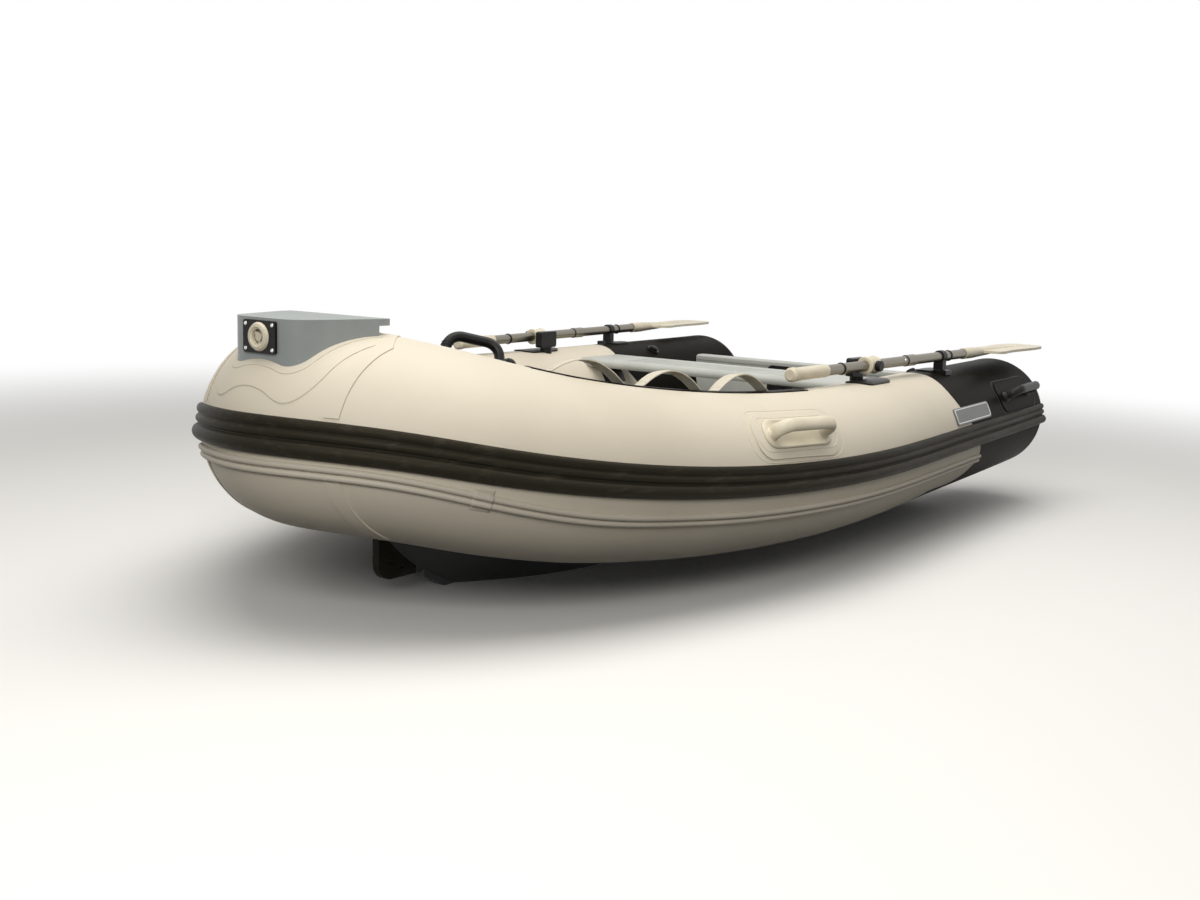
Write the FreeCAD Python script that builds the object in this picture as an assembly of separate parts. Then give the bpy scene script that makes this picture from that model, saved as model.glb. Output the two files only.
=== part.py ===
import FreeCAD, Part
import math
import os

V = FreeCAD.Vector

# Rigid inflatable tender, in millimetres.
# X runs forward, Y to port, Z up; the origin lies on the centreline at the
# waterline, half way between the tube ends and the tip of the bow.

# Overall form of the tube collar
LENGTH = 3130.0
TUBE_RADIUS = 208.0
TUBE_HALF_BEAM = 650.0
BOW_RADIUS_GROWTH = 34.0
STERN_RADIUS_LOSS = 8.0
STERN_RAISE = 20.0
BOW_RISE = 160.0
TUBE_HEIGHT = 310.0
END_DOME = 70.0
END_FACE_SHARE = 0.6
# shares along the collar: length, half beam, bow rise, bow growth
COLLAR_SHARES = [
    (0.0, 0.985, 0.0, 0.0),
    (0.15, 0.99, 0.0, 0.0),
    (0.3, 0.996, 0.015, 0.0),
    (0.43, 1.003, 0.026, 0.0),
    (0.55, 0.992, 0.032, 0.05),
    (0.65, 0.925, 0.062, 0.18),
    (0.74, 0.82, 0.143, 0.36),
    (0.8, 0.732, 0.243, 0.49),
    (0.85, 0.647, 0.365, 0.61),
    (0.89, 0.557, 0.5, 0.72),
    (0.93, 0.43, 0.686, 0.83),
    (0.96, 0.295, 0.836, 0.91),
    (0.985, 0.152, 0.95, 0.98),
]
SEAT = 0.3
OVERRUN = 20.0
CHAMBER_SEAM_Y = 211.0
SEAM_BEND_X = 2880.0
SEAM_CROTCH_X = 2590.0
MITRE_SHARE = 0.45

# Curve where the dark aft sleeve meets the light tube, side view:
# shares of the length forward of the stern, shares of the tube radius up
SLEEVE_SHARES = [
    (0.262, 1.3),
    (0.270, 1.0),
    (0.279, 0.78),
    (0.275, 0.58),
    (0.256, 0.28),
    (0.231, -0.05),
    (0.224, -0.3),
    (0.234, -0.52),
    (0.30, -0.68),
    (0.34, -0.8),
    (0.34, -1.3),
]

# Rub strake and splash strake, angles in degrees up from level outboard
STRAKE_TOP_ANGLE = 14.0
STRAKE_BOTTOM_ANGLE = -7.5
STRAKE_BASE = 6.0
STRAKE_RIB = 5.5
STRAKE_BEAD = 14.0
STRAKE_ROOT = 1.5
# shares down the strake where its ribs and its bead start and end
STRAKE_CUTS = (0.02, 0.27, 0.3, 0.52, 0.56, 0.97)
SPLASH_ANGLE = -21.5
SPLASH_WIDTH_ANGLE = 8.0
SPLASH_BOW_LIFT = 7.5
SPLASH_GAP_SHARE = 0.08
SPLASH_BASE = 3.0
SPLASH_BEAD = 7.0
SPLASH_END_SHARE = 0.224

# Hull shell, from the keel up
HULL_FORE = 2740.0
KEEL_DEPTH = 112.0
KEEL_BAR_WIDTH = 34.0
KEEL_BAR_DEPTH = 10.0
CHINE_HALF = 505.0
CHINE_HEIGHT = 106.0
CHINE_FLAT = 42.0
CHINE_EDGE = 5.0
DECK_RISE_SHARE = 0.5
DECK_LEVEL = 212.0
DECK_THICK = 16.0
DECK_FORE = 2460.0
# shares along the hull: length, keel rise, chine rise
HULL_SHARES = [
    (0.0, 0.0, 0.0),
    (0.25, 0.0, 0.0),
    (0.5, 0.0, 0.0),
    (0.66, 0.005, 0.04),
    (0.77, 0.06, 0.13),
    (0.85, 0.27, 0.27),
    (0.91, 0.47, 0.43),
    (0.96, 0.72, 0.62),
    (1.0, 1.0, 0.85),
]
KEEL_BAR_STATIONS = 7
HULL_TUCK = 14.0
CHINE_OUT = 10.0
STEM_HALF = 16.0
KEEL_RISE = 342.0
CHINE_RISE = 190.0

# Transom
TRANSOM_AFT = 372.0
TRANSOM_THICK = 45.0
TRANSOM_TOP = 476.0
TRANSOM_SHOULDER = 330.0
TRANSOM_HALF = 500.0
TRANSOM_TOP_HALF = 452.0
MOTOR_PAD_WIDTH = 240.0
MOTOR_PAD_HEIGHT = 190.0
MOTOR_PAD_THICK = 12.0
MOTOR_PAD_RADIUS = 18.0
MOTOR_PAD_DROP = 12.0
LIFT_EYE_BORE = 13.0
LIFT_EYE_ROD = 9.0
LIFT_EYE_Y = 330.0
LIFT_EYE_HEIGHT = 360.0

# Locker in the bow and its hatch
LOCKER_AFT = 2150.0
LOCKER_FORE = 2610.0
LOCKER_NOSE = 90.0
LOCKER_WALL = 8.0
LOCKER_TOP = 460.0
HATCH_AFT = 2180.0
HATCH_LENGTH = 200.0
HATCH_WIDTH = 220.0
HATCH_THICK = 12.0
HATCH_MARGIN = 16.0
HATCH_CORNER = 22.0
HATCH_SEAT = 0.5
HINGE_RADIUS = 7.0
HINGE_PIN = 3.0
HINGE_LENGTH = 46.0
HINGE_EAR = 12.0
HINGE_SIDE_GAP = 0.6
HINGE_Y = 62.0
HINGE_GAP = 2.0
PIN_CLEARANCE = 0.06

# Step moulded over the bow tube
STEP_NOSE = 3062.0
STEP_AFT = 2856.0
STEP_HALF = 166.0
STEP_NOSE_HALF = 104.0
STEP_TOP = 736.0
STEP_OVERHANG = 34.0
STEP_LIP = 16.0
STEP_CORNER = 62.0
STEP_EDGE = 6.0
# growth of each patch forward, sideways and aft, and its thickness
PATCHES = [(40.0, 48.0, 60.0, 1.5), (11.0, 13.0, 30.0, 3.0)]
FAIRLEAD_RADIUS = 33.0
FAIRLEAD_ROD = 9.0
FAIRLEAD_HUB = 10.0
FAIRLEAD_FRAME = 106.0
FAIRLEAD_FRAME_HEIGHT = 74.0
FAIRLEAD_FRAME_THICK = 7.0
FAIRLEAD_SPOKE = 7.0
SPOKE_SHARE = 0.6
# shares of the rim's thickness: inward from the outer radius, outward from the step
RIM_SHARES = [(0.0, 0.0), (0.0, 0.9), (0.4, 1.5), (1.1, 1.7), (1.7, 1.3), (1.8, 0.6), (1.5, 0.0)]

# Lug on the stem
LUG_X = 2648.0
LUG_Z = 100.0
LUG_SLANT_SHARE = 0.4
LUG_THICK = 22.0
LUG_RADIUS = 46.0
LUG_BORE = 9.0
LUG_BORE_PITCH = 42.0

# Thwart
THWART_FORE = 1092.0
THWART_DEPTH = 236.0
THWART_THICK = 30.0
THWART_TOP = 496.0
THWART_HALF = 545.0
THWART_NOSE = 14.0
THWART_BRACKET = 60.0
THWART_BRACKET_THICK = 5.0
THWART_LEDGE = 70.0

# Oars and rowlocks
OAR_TIP = -52.0
OAR_BLADE_END = 534.0
OAR_CLIP = 710.0
OAR_JOINT = 913.0
OAR_PIVOT = 1213.0
OAR_GRIP_START = 1487.0
OAR_GRIP_END = 1686.0
OAR_SHAFT_RADIUS = 16.0
OAR_HEIGHT = 262.0
OAR_OFFSET = 652.0
OAR_TOE_IN = 3.6
OAR_SLOPE = 0.3
BLADE_WIDTH = 148.0
BLADE_THICK = 9.0
BLADE_NECK = 20.0
BLADE_NECK_LENGTH = 150.0
BLADE_SPINE = 13.0
BLADE_CORNER = 70.0
BLADE_SHOULDER_SHARE = 0.62
OAR_SOCKET = 70.0
SOCKET_WALL = 3.0
GRIP_RADIUS = 19.0
GRIP_END_RADIUS = 21.0
COLLAR_RADIUS = 25.0
COLLAR_LENGTH = 62.0
COLLAR_LIP = 3.0
JOINT_RADIUS = 18.5
JOINT_LENGTH = 60.0
KNOB_RADIUS = 17.0
KNOB_LENGTH = 18.0
KNOB_FILLET = 4.0
PIN_RADIUS = 6.0
SWIVEL_LENGTH = 96.0
SWIVEL_WIDTH = 26.0
SWIVEL_SIDE_GAP = 1.0
SWIVEL_CORNER = 9.0
SWIVEL_RISE = 20.0
SPIGOT_RADIUS = 9.0
SPIGOT_LENGTH = 14.0
BASE_LENGTH = 190.0
BASE_WIDTH = 92.0
BASE_THICK = 5.0
BOSS_RADIUS = 21.0
BOSS_RISE = 12.0
SWING_GAP = 1.0
SPIGOT_CLEARANCE = 0.08
CLIP_WALL = 4.5
CLIP_LENGTH = 26.0
CLIP_FOOT = 34.0
CLIP_GAP = 1.0
REST_LENGTH = 110.0
REST_WIDTH = 66.0
REST_THICK = 5.0

# Handles, straps and plates on the tubes
GRAB_X = 1890.0
GRAB_LENGTH = 240.0
GRAB_HALF_WIDTH = 19.0
GRAB_ANGLE = 35.5
GRAB_ROD = 12.0
GRAB_STAND = 38.0
GRAB_PAD_LENGTH = 342.0
GRAB_PAD_HEIGHT = 132.0
GRAB_FOOT = 62.0
CARRY_ROD = 12.5
CARRY_HALF_WIDTH = 15.0
STERN_GRIP_X = 305.0
STERN_GRIP_LENGTH = 250.0
STERN_GRIP_ANGLE = 31.0
STERN_PAD_LENGTH = 350.0
STERN_PAD_HEIGHT = 108.0
BOW_GRIP_X = 2700.0
BOW_GRIP_LENGTH = 160.0
BOW_GRIP_ANGLE = 116.0
BOW_PAD_LENGTH = 200.0
BOW_PAD_HEIGHT = 92.0
PAD_THICK = 2.5
PAD_CORNER_SHARE = 0.42
HANDLE_LEG_SHARE = 0.45
STRAP_ANGLE = 97.0
STRAP_WIDTH = 38.0
STRAP_THICK = 3.0
STRAP_RISE = 44.0
STRAP_STATIONS = 13
STRAP_END_SHARE = 0.1
STRAP_SPANS = [(2560.0, 2308.0), (2283.0, 2051.0), (2021.0, 1784.0)]
STRIP_FORE = 2600.0
STRIP_AFT = 1640.0
STRIP_WIDTH = 86.0
BADGE_X = 780.0
BADGE_LENGTH = 320.0
BADGE_HEIGHT = 56.0
BADGE_ANGLE = 23.8
BADGE_THICK = 4.0
BADGE_CORNER_SHARE = 0.2
VALVE_RADIUS = 24.0
VALVE_HEIGHT = 7.0
VALVE_ANGLE = 120.0
VALVE_CAP_SHARE = 0.7
VALVE_PLACES = [600.0, 1500.0]
BAND_WIDTH = 30.0
BAND_THICK = 2.5
BAND_MARGIN_ANGLE = 1.5
# how far the room cut for the strakes reaches in and out from the tube's skin
ROOM_DEPTH = 25.0

HALF = LENGTH / 2
COLLAR_LENGTH_X = LENGTH - TUBE_RADIUS - BOW_RADIUS_GROWTH

os.makedirs("parts", exist_ok=True)


def put(name, shape):
    shape.exportStep("parts/" + name + ".step")


def solid_of(shape):
    solids = shape.Solids
    return solids[0] if len(solids) == 1 else Part.makeCompound(solids)


def main_solid(shape):
    """The largest solid, without the scraps that a cut leaves."""
    return max(shape.Solids, key=lambda solid: solid.Volume)


def group(*shapes):
    solids = []
    for shape in shapes:
        solids.extend(shape.Solids)
    return Part.makeCompound(solids)


def mirrored(shape):
    return shape.mirror(V(0, 0, 0), V(0, 1, 0))


def at(x):
    """Place along X of a distance forward of the tube ends."""
    return x - HALF


# The collar's centre curve, port stern to starboard stern
def collar_point(share, side):
    sx, sy, sz, sr = share
    loss = max(1 - sx / COLLAR_SHARES[3][0], 0)
    z = TUBE_HEIGHT + BOW_RISE * sz + STERN_RAISE * loss
    r = TUBE_RADIUS + BOW_RADIUS_GROWTH * sr - STERN_RADIUS_LOSS * loss
    x = END_DOME + (COLLAR_LENGTH_X - END_DOME) * sx
    return V(at(x), side * TUBE_HALF_BEAM * sy, z), r


nodes = [collar_point(share, 1) for share in COLLAR_SHARES]
tip = collar_point((1.0, 0.0, 1.0, 1.0), 1)
back = [collar_point(share, -1) for share in reversed(COLLAR_SHARES)]
knots = nodes + [tip] + back
CURVE = Part.BSplineCurve()
CURVE.interpolate([p for p, r in knots])
MIDDLE = CURVE.parameter(tip[0])
KNOT_PARAMETERS = [CURVE.parameter(p) for p, r in knots]


def radius_at(u):
    for i in range(len(knots) - 1):
        lo = KNOT_PARAMETERS[i]
        hi = KNOT_PARAMETERS[i + 1]
        if u <= hi or i == len(knots) - 2:
            t = (u - lo) / (hi - lo)
            return knots[i][1] * (1 - t) + knots[i + 1][1] * t
    return knots[-1][1]


class Station:
    """Local axes of the collar at one parameter of its centre curve."""

    def __init__(self, u):
        self.u = u
        self.centre = CURVE.value(u)
        tangent = CURVE.tangent(u)[0]
        self.along = V(tangent.x, tangent.y, tangent.z)
        self.along.normalize()
        self.out = V(0, 0, 1).cross(self.along)
        self.out.normalize()
        self.out = self.out * (1 if self.out.dot(V(1, self.centre.y, 0)) > 0 else -1)
        self.up = self.along.cross(self.out)
        self.up = self.up * (1 if self.up.z > 0 else -1)
        self.radius = radius_at(u)

    def at(self, angle, reach):
        a = math.radians(angle)
        return self.centre + self.out * (reach * math.cos(a)) + self.up * (reach * math.sin(a))

    def normal(self, angle):
        a = math.radians(angle)
        return self.out * math.cos(a) + self.up * math.sin(a)


def parameter_at_x(x):
    """Parameter on the port side where the centre curve has this X."""
    lo = 0.0
    hi = MIDDLE
    for step in range(60):
        mid = (lo + hi) / 2
        if CURVE.value(mid).x < at(x):
            lo = mid
        else:
            hi = mid
    return (lo + hi) / 2


def steps(u0, u1, count):
    return [u0 + (u1 - u0) * i / (count - 1) for i in range(count)]


def ring(station, extra):
    circle = Part.Circle(station.centre, station.along, station.radius + extra)
    circle.XAxis = station.out
    return Part.Wire([circle.toShape()])


STATIONS_PER_SIDE = 16
U_PORT = steps(0.0, MIDDLE, STATIONS_PER_SIDE)
U_ALL = U_PORT + [2 * MIDDLE - u for u in reversed(U_PORT[:-1])]


def axes_placement(origin, x_axis, y_axis):
    z_axis = x_axis.cross(y_axis)
    m = FreeCAD.Matrix(
        x_axis.x, y_axis.x, z_axis.x, origin.x,
        x_axis.y, y_axis.y, z_axis.y, origin.y,
        x_axis.z, y_axis.z, z_axis.z, origin.z,
        0, 0, 0, 1)
    return FreeCAD.Placement(m)


def end_dome(station, sign):
    """Blunt rounded end closing one tube."""
    r = station.radius
    face = r * END_FACE_SHARE
    o = V(0, 0, 0)
    top = V(0, r, 0)
    rim = V(-END_DOME, face, 0)
    lean = V(-END_DOME * math.sin(math.radians(50)), face + (r - face) * math.cos(math.radians(50)), 0)
    arc = Part.Arc(top, lean, rim).toShape()
    edges = [Part.makeLine(o, top), arc, Part.makeLine(rim, V(-END_DOME, 0, 0)), Part.makeLine(V(-END_DOME, 0, 0), o)]
    face_shape = Part.Face(Part.Wire(edges))
    dome = face_shape.revolve(o, V(1, 0, 0), 360)
    dome.Placement = axes_placement(station.centre, station.along * sign, station.out)
    return dome


TUBES = {}


def collar(extra):
    """The whole collar grown by extra, made once for each value."""
    if extra not in TUBES:
        wires = [ring(Station(u), extra) for u in U_ALL]
        TUBES[extra] = Part.makeLoft(wires, True, False)
    return TUBES[extra]


def box(x0, x1, y0, y1, z0, z1):
    return Part.makeBox(x1 - x0, y1 - y0, z1 - z0, V(x0, y0, z0))


def plate(points, direction):
    """Prism of a closed outline given as vectors."""
    return Part.Face(Part.makePolygon(points + [points[0]])).extrude(direction)


def arc_through(a, b, c):
    return Part.Arc(a, b, c).toShape()


def rounded_outline(length, height, corner):
    """Closed wire of a rounded rectangle round the local origin in XZ."""
    a = length / 2
    b = height / 2
    k = corner * (1 - math.sqrt(0.5))
    edges = []
    for sx, sz in ((1, 1), (-1, -1)):
        right = V(sx * a, 0, sz * (b - corner))
        top = V(sx * (a - corner), 0, sz * b)
        edges.append(Part.makeLine(V(sx * a, 0, -sz * (b - corner)), right))
        edges.append(arc_through(right, V(sx * (a - k), 0, sz * (b - k)), top))
        far = V(-sx * (a - corner), 0, sz * b)
        low = V(-sx * a, 0, sz * (b - corner))
        edges.append(Part.makeLine(top, far))
        edges.append(arc_through(far, V(-sx * (a - k), 0, sz * (b - k)), low))
    return Part.Wire(edges)


def tube_frame(x, angle, reach_extra):
    """Placement on the port tube: local X along it, Y straight out of it."""
    station = Station(parameter_at_x(x))
    normal = station.normal(angle)
    origin = station.centre + normal * (station.radius + reach_extra)
    return axes_placement(origin, station.along, normal)


def on_tube(shape, x, angle, reach_extra):
    moved = shape.copy()
    moved.Placement = tube_frame(x, angle, reach_extra).multiply(shape.Placement)
    return moved


def tube_pad(x, angle, length, height, thick, corner_share):
    """Sheet bonded on the port tube, cut from a grown copy of the collar."""
    corner = min(length, height) * corner_share
    reach = TUBE_RADIUS
    prism = Part.Face(rounded_outline(length, height, corner)).extrude(V(0, reach, 0))
    prism.translate(V(0, -reach / 2, 0))
    prism = on_tube(prism, x, angle, 0)
    return collar(SEAT + thick).common(prism).cut(collar(SEAT))


def side_loft(profile, u0, u1, count):
    wires = [profile(Station(u)) for u in steps(u0, u1, count)]
    return Part.makeLoft(wires, True, False)


def whole_loft(profile):
    return Part.makeLoft([profile(Station(u)) for u in U_ALL], True, False)


# Tube collar: light tubes, a bow chamber and dark aft sleeves
whole = collar(0)
def seam_points(shift):
    """Plan line of a chamber seam: fore and aft outboard, mitred to the crotch."""
    return [(LENGTH, CHAMBER_SEAM_Y + shift), (at(SEAM_BEND_X) - shift * MITRE_SHARE, CHAMBER_SEAM_Y + shift),
            (at(SEAM_CROTCH_X) - shift, shift)]


def seam_prism(shift, height):
    half_line = seam_points(shift)
    line = half_line + [(x, -y) for x, y in reversed(half_line)]
    if shift == 0:
        line = half_line[:-1] + [(at(SEAM_CROTCH_X), 0)] + [(x, -y) for x, y in reversed(half_line[:-1])]
    return plate([V(x, y, 0) for x, y in line], V(0, 0, height))


bow_prism = seam_prism(0, LENGTH)
tube_bow = whole.common(bow_prism)
port_box = box(-LENGTH, LENGTH, 0, LENGTH, -LENGTH, LENGTH)
port_full = whole.common(port_box).cut(bow_prism)
sleeve_points = [V(at(sx * LENGTH), 0, TUBE_HEIGHT + sz * TUBE_RADIUS) for sx, sz in SLEEVE_SHARES]
sleeve_curve = Part.BSplineCurve()
sleeve_curve.interpolate(sleeve_points)
first = sleeve_points[0]
last = sleeve_points[-1]
sleeve_wire = Part.Wire([
    sleeve_curve.toShape(),
    Part.makeLine(last, V(-LENGTH, 0, last.z)),
    Part.makeLine(V(-LENGTH, 0, last.z), V(-LENGTH, 0, first.z)),
    Part.makeLine(V(-LENGTH, 0, first.z), first)])
sleeve_prism = Part.Face(sleeve_wire).extrude(V(0, LENGTH, 0))
tube_port = port_full.cut(sleeve_prism)
tube_port_aft = port_full.common(sleeve_prism).fuse(end_dome(Station(0.0), 1))
put("tube_bow", solid_of(tube_bow))
put("tube_port", main_solid(tube_port))
put("tube_starboard", main_solid(mirrored(tube_port)))
put("tube_port_aft", solid_of(tube_port_aft))
put("tube_starboard_aft", solid_of(mirrored(tube_port_aft)))


# Rub strake: two small ribs over one heavy bead
def arc_on(station, a0, a1, r0, r1, peak):
    mid = (a0 + a1) / 2
    return Part.Arc(station.at(a0, r0), station.at(mid, peak), station.at(a1, r1)).toShape()


def strake_profile(station):
    r = station.radius - STRAKE_ROOT
    base = station.radius + STRAKE_BASE
    span = STRAKE_TOP_ANGLE - STRAKE_BOTTOM_ANGLE
    cuts = [STRAKE_TOP_ANGLE - span * s for s in STRAKE_CUTS]
    p = [station.at(a, base) for a in cuts]
    top_in = station.at(STRAKE_TOP_ANGLE, r)
    low_in = station.at(STRAKE_BOTTOM_ANGLE, r)
    edges = [
        Part.makeLine(top_in, p[0]),
        arc_on(station, cuts[0], cuts[1], base, base, base + STRAKE_RIB),
        Part.makeLine(p[1], p[2]),
        arc_on(station, cuts[2], cuts[3], base, base, base + STRAKE_RIB),
        Part.makeLine(p[3], p[4]),
        arc_on(station, cuts[4], cuts[5], base, base, base + STRAKE_BEAD),
        Part.makeLine(p[5], low_in),
        arc_on(station, STRAKE_BOTTOM_ANGLE, STRAKE_TOP_ANGLE, r, r, r)]
    return Part.Wire(edges)


strake = whole_loft(strake_profile).cut(collar(SEAT))
put("rub_strake", solid_of(strake))


# Splash strake: a lighter double bead lower down
def splash_angle(station):
    ahead = (CHAMBER_SEAM_Y * 2 - abs(station.centre.y)) / CHAMBER_SEAM_Y
    blend = min(max(ahead, 0), 1)
    return SPLASH_ANGLE + SPLASH_BOW_LIFT * blend * blend * (3 - 2 * blend)


def splash_profile(station):
    r = station.radius - STRAKE_ROOT
    base = station.radius + SPLASH_BASE
    mid = splash_angle(station)
    half = SPLASH_WIDTH_ANGLE / 2
    a = [mid + half, mid + half * SPLASH_GAP_SHARE, mid - half * SPLASH_GAP_SHARE, mid - half]
    edges = [
        Part.makeLine(station.at(a[0], r), station.at(a[0], base)),
        arc_on(station, a[0], a[1], base, base, base + SPLASH_BEAD),
        Part.makeLine(station.at(a[1], base), station.at(a[2], base)),
        arc_on(station, a[2], a[3], base, base, base + SPLASH_BEAD),
        Part.makeLine(station.at(a[3], base), station.at(a[3], r)),
        arc_on(station, a[3], a[0], r, r, r)]
    return Part.Wire(edges)


splash = whole_loft(splash_profile).cut(collar(SEAT))
splash = splash.common(box(at(SPLASH_END_SHARE * LENGTH), LENGTH, -LENGTH, LENGTH, -LENGTH, LENGTH))
put("splash_strake", solid_of(splash))


# Bands over the seams at both ends of the bow chamber
def shell_wire(station, a0, a1, r0, r1):
    low = station.radius + r0
    high = station.radius + r1
    return Part.Wire([
        arc_on(station, a0, a1, low, low, low),
        Part.makeLine(station.at(a1, low), station.at(a1, high)),
        arc_on(station, a1, a0, high, high, high),
        Part.makeLine(station.at(a0, high), station.at(a0, low))])


def tube_shell(x0, x1, a0, a1, thick, count):
    """Sheet on the port tube between two stations and two angles."""
    def profile(station):
        return shell_wire(station, a0, a1, SEAT, SEAT + thick)
    return side_loft(profile, parameter_at_x(x0), parameter_at_x(x1), count)


def strake_room_profile(station):
    low = splash_angle(station) - SPLASH_WIDTH_ANGLE / 2 - BAND_MARGIN_ANGLE
    return shell_wire(station, low, STRAKE_TOP_ANGLE + BAND_MARGIN_ANGLE, -ROOM_DEPTH, ROOM_DEPTH)


def band_prism(width):
    """Upright prism along the port seam line."""
    w = width / 2
    line = seam_points(w)[:2] + [(at(SEAM_CROTCH_X) - w, 0), (at(SEAM_CROTCH_X) + w, 0)]
    line = line + list(reversed(seam_points(-w)[:2]))
    return plate([V(x, y, 0) for x, y in line], V(0, 0, LENGTH))


band = collar(SEAT + BAND_THICK).common(band_prism(BAND_WIDTH))
band = band.cut(collar(SEAT)).cut(side_loft(strake_room_profile, MIDDLE / 2, MIDDLE, STATIONS_PER_SIDE))
band = band.cut(box(-LENGTH, at(SEAM_BEND_X), -LENGTH, LENGTH, -LENGTH, LOCKER_TOP + BAND_THICK))
put("seam_bands", group(band, mirrored(band)))


# Hull: moulded V bottom with flats at the chine, trimmed to seat the tubes
HULL_AFT = TRANSOM_AFT + TRANSOM_THICK


def inner_half(x, z):
    """Half width between the tubes where their inner faces stand at this height."""
    station = Station(parameter_at_x(x))
    rise = z - station.centre.z
    reach = math.sqrt(max(station.radius ** 2 - rise ** 2, 0)) / max(abs(station.along.x), MITRE_SHARE)
    return station.centre.y - reach


def hull_points(share):
    sx, keel, chine = share
    x = HULL_AFT + (HULL_FORE - HULL_AFT) * sx
    deck = DECK_LEVEL + CHINE_RISE * chine * DECK_RISE_SHARE
    top = max(inner_half(x, deck) + HULL_TUCK, STEM_HALF)
    c = max(inner_half(x, deck) + HULL_TUCK + CHINE_OUT, STEM_HALF)
    zc = CHINE_HEIGHT + CHINE_RISE * chine
    zk = KEEL_RISE * keel - KEEL_DEPTH
    flat = CHINE_FLAT * c / CHINE_HALF
    side = [(top, deck), (c, zc + CHINE_EDGE), (c - flat, zc)]
    points = [V(at(x), y, z) for y, z in side]
    points.append(V(at(x), 0, zk))
    points.extend([V(at(x), -y, z) for y, z in reversed(side)])
    return points


def closed(points):
    return Part.makePolygon(points + [points[0]])


seat = collar(SEAT)
hull_wires = [closed(hull_points(share)) for share in HULL_SHARES]
hull = Part.makeLoft(hull_wires, True, False)
bar_wires = []
for share in HULL_SHARES[:KEEL_BAR_STATIONS]:
    low = hull_points(share)[len(hull_points(share)) // 2]
    w = KEEL_BAR_WIDTH / 2
    z0 = low.z - KEEL_BAR_DEPTH
    z1 = low.z + KEEL_BAR_WIDTH
    bar_wires.append(closed([V(low.x, -w, z0), V(low.x, w, z0), V(low.x, w, z1), V(low.x, -w, z1)]))
hull = hull.fuse(Part.makeLoft(bar_wires, True, False)).removeSplitter().cut(seat)
put("hull", main_solid(hull))


# Room between the tubes, no wider than the top edge of the hull
def between_tubes(x0, x1, z0, z1):
    port = [hull_points(share)[0] for share in HULL_SHARES]
    outline = [V(p.x, p.y, z0) for p in port] + [V(p.x, -p.y, z0) for p in reversed(port)]
    prism = plate(outline, V(0, 0, z1 - z0))
    return prism.common(box(at(x0), at(x1), -LENGTH, LENGTH, z0, z1))


# Deck between the tubes
deck = between_tubes(HULL_AFT, DECK_FORE, DECK_LEVEL, DECK_LEVEL + DECK_THICK)
deck = deck.cut(seat)
deck_room = Part.makeLoft(hull_wires, True, False)
deck = deck.cut(deck_room)
put("deck", main_solid(deck))

# Transom, its foot shaped to the hull's end
aft_section = hull_points(HULL_SHARES[0])
foot = plate(aft_section, V(-TRANSOM_THICK, 0, 0))
wall_points = [
    V(at(HULL_AFT), TRANSOM_HALF, DECK_LEVEL),
    V(at(HULL_AFT), TRANSOM_HALF, TRANSOM_SHOULDER),
    V(at(HULL_AFT), TRANSOM_TOP_HALF, TRANSOM_SHOULDER),
    V(at(HULL_AFT), TRANSOM_TOP_HALF, TRANSOM_TOP)]
wall_points = wall_points + [V(p.x, -p.y, p.z) for p in reversed(wall_points)]
transom = plate(wall_points, V(-TRANSOM_THICK, 0, 0)).fuse(foot).removeSplitter().cut(seat)
put("transom", solid_of(transom))

# Plates that the motor clamps on
pad = Part.Face(rounded_outline(MOTOR_PAD_WIDTH, MOTOR_PAD_HEIGHT, MOTOR_PAD_RADIUS))
pad = pad.extrude(V(0, MOTOR_PAD_THICK, 0))
pad.rotate(V(0, 0, 0), V(0, 0, 1), 90)
pad_z = TRANSOM_TOP - MOTOR_PAD_HEIGHT / 2 - MOTOR_PAD_DROP
outer = pad.copy()
outer.translate(V(at(TRANSOM_AFT), 0, pad_z))
inner = pad.copy()
inner.translate(V(at(HULL_AFT) + MOTOR_PAD_THICK, 0, pad_z))
put("motor_pads", group(outer, inner))

# Locker in the bow: walls that follow the tubes, a top with a hatch opening
deck_top = DECK_LEVEL + DECK_THICK
shell = between_tubes(LOCKER_AFT, LOCKER_FORE, deck_top, LOCKER_TOP).cut(seat)
room = between_tubes(LOCKER_AFT + LOCKER_WALL, LOCKER_FORE - LOCKER_NOSE, deck_top + LOCKER_WALL,
                     LOCKER_TOP - LOCKER_WALL).cut(collar(SEAT + LOCKER_WALL))
hatch_x = at(HATCH_AFT) + HATCH_LENGTH / 2
opening = rounded_outline(HATCH_LENGTH - HATCH_MARGIN * 2, HATCH_WIDTH - HATCH_MARGIN * 2, HATCH_CORNER)
opening = Part.Face(opening).extrude(V(0, LOCKER_WALL * 2, 0))
opening.rotate(V(0, 0, 0), V(1, 0, 0), 90)
opening.translate(V(hatch_x, 0, LOCKER_TOP - LOCKER_WALL * 1.5))
locker = shell.cut(room).cut(opening).cut(deck_room)
put("bow_locker", main_solid(locker))

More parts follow.
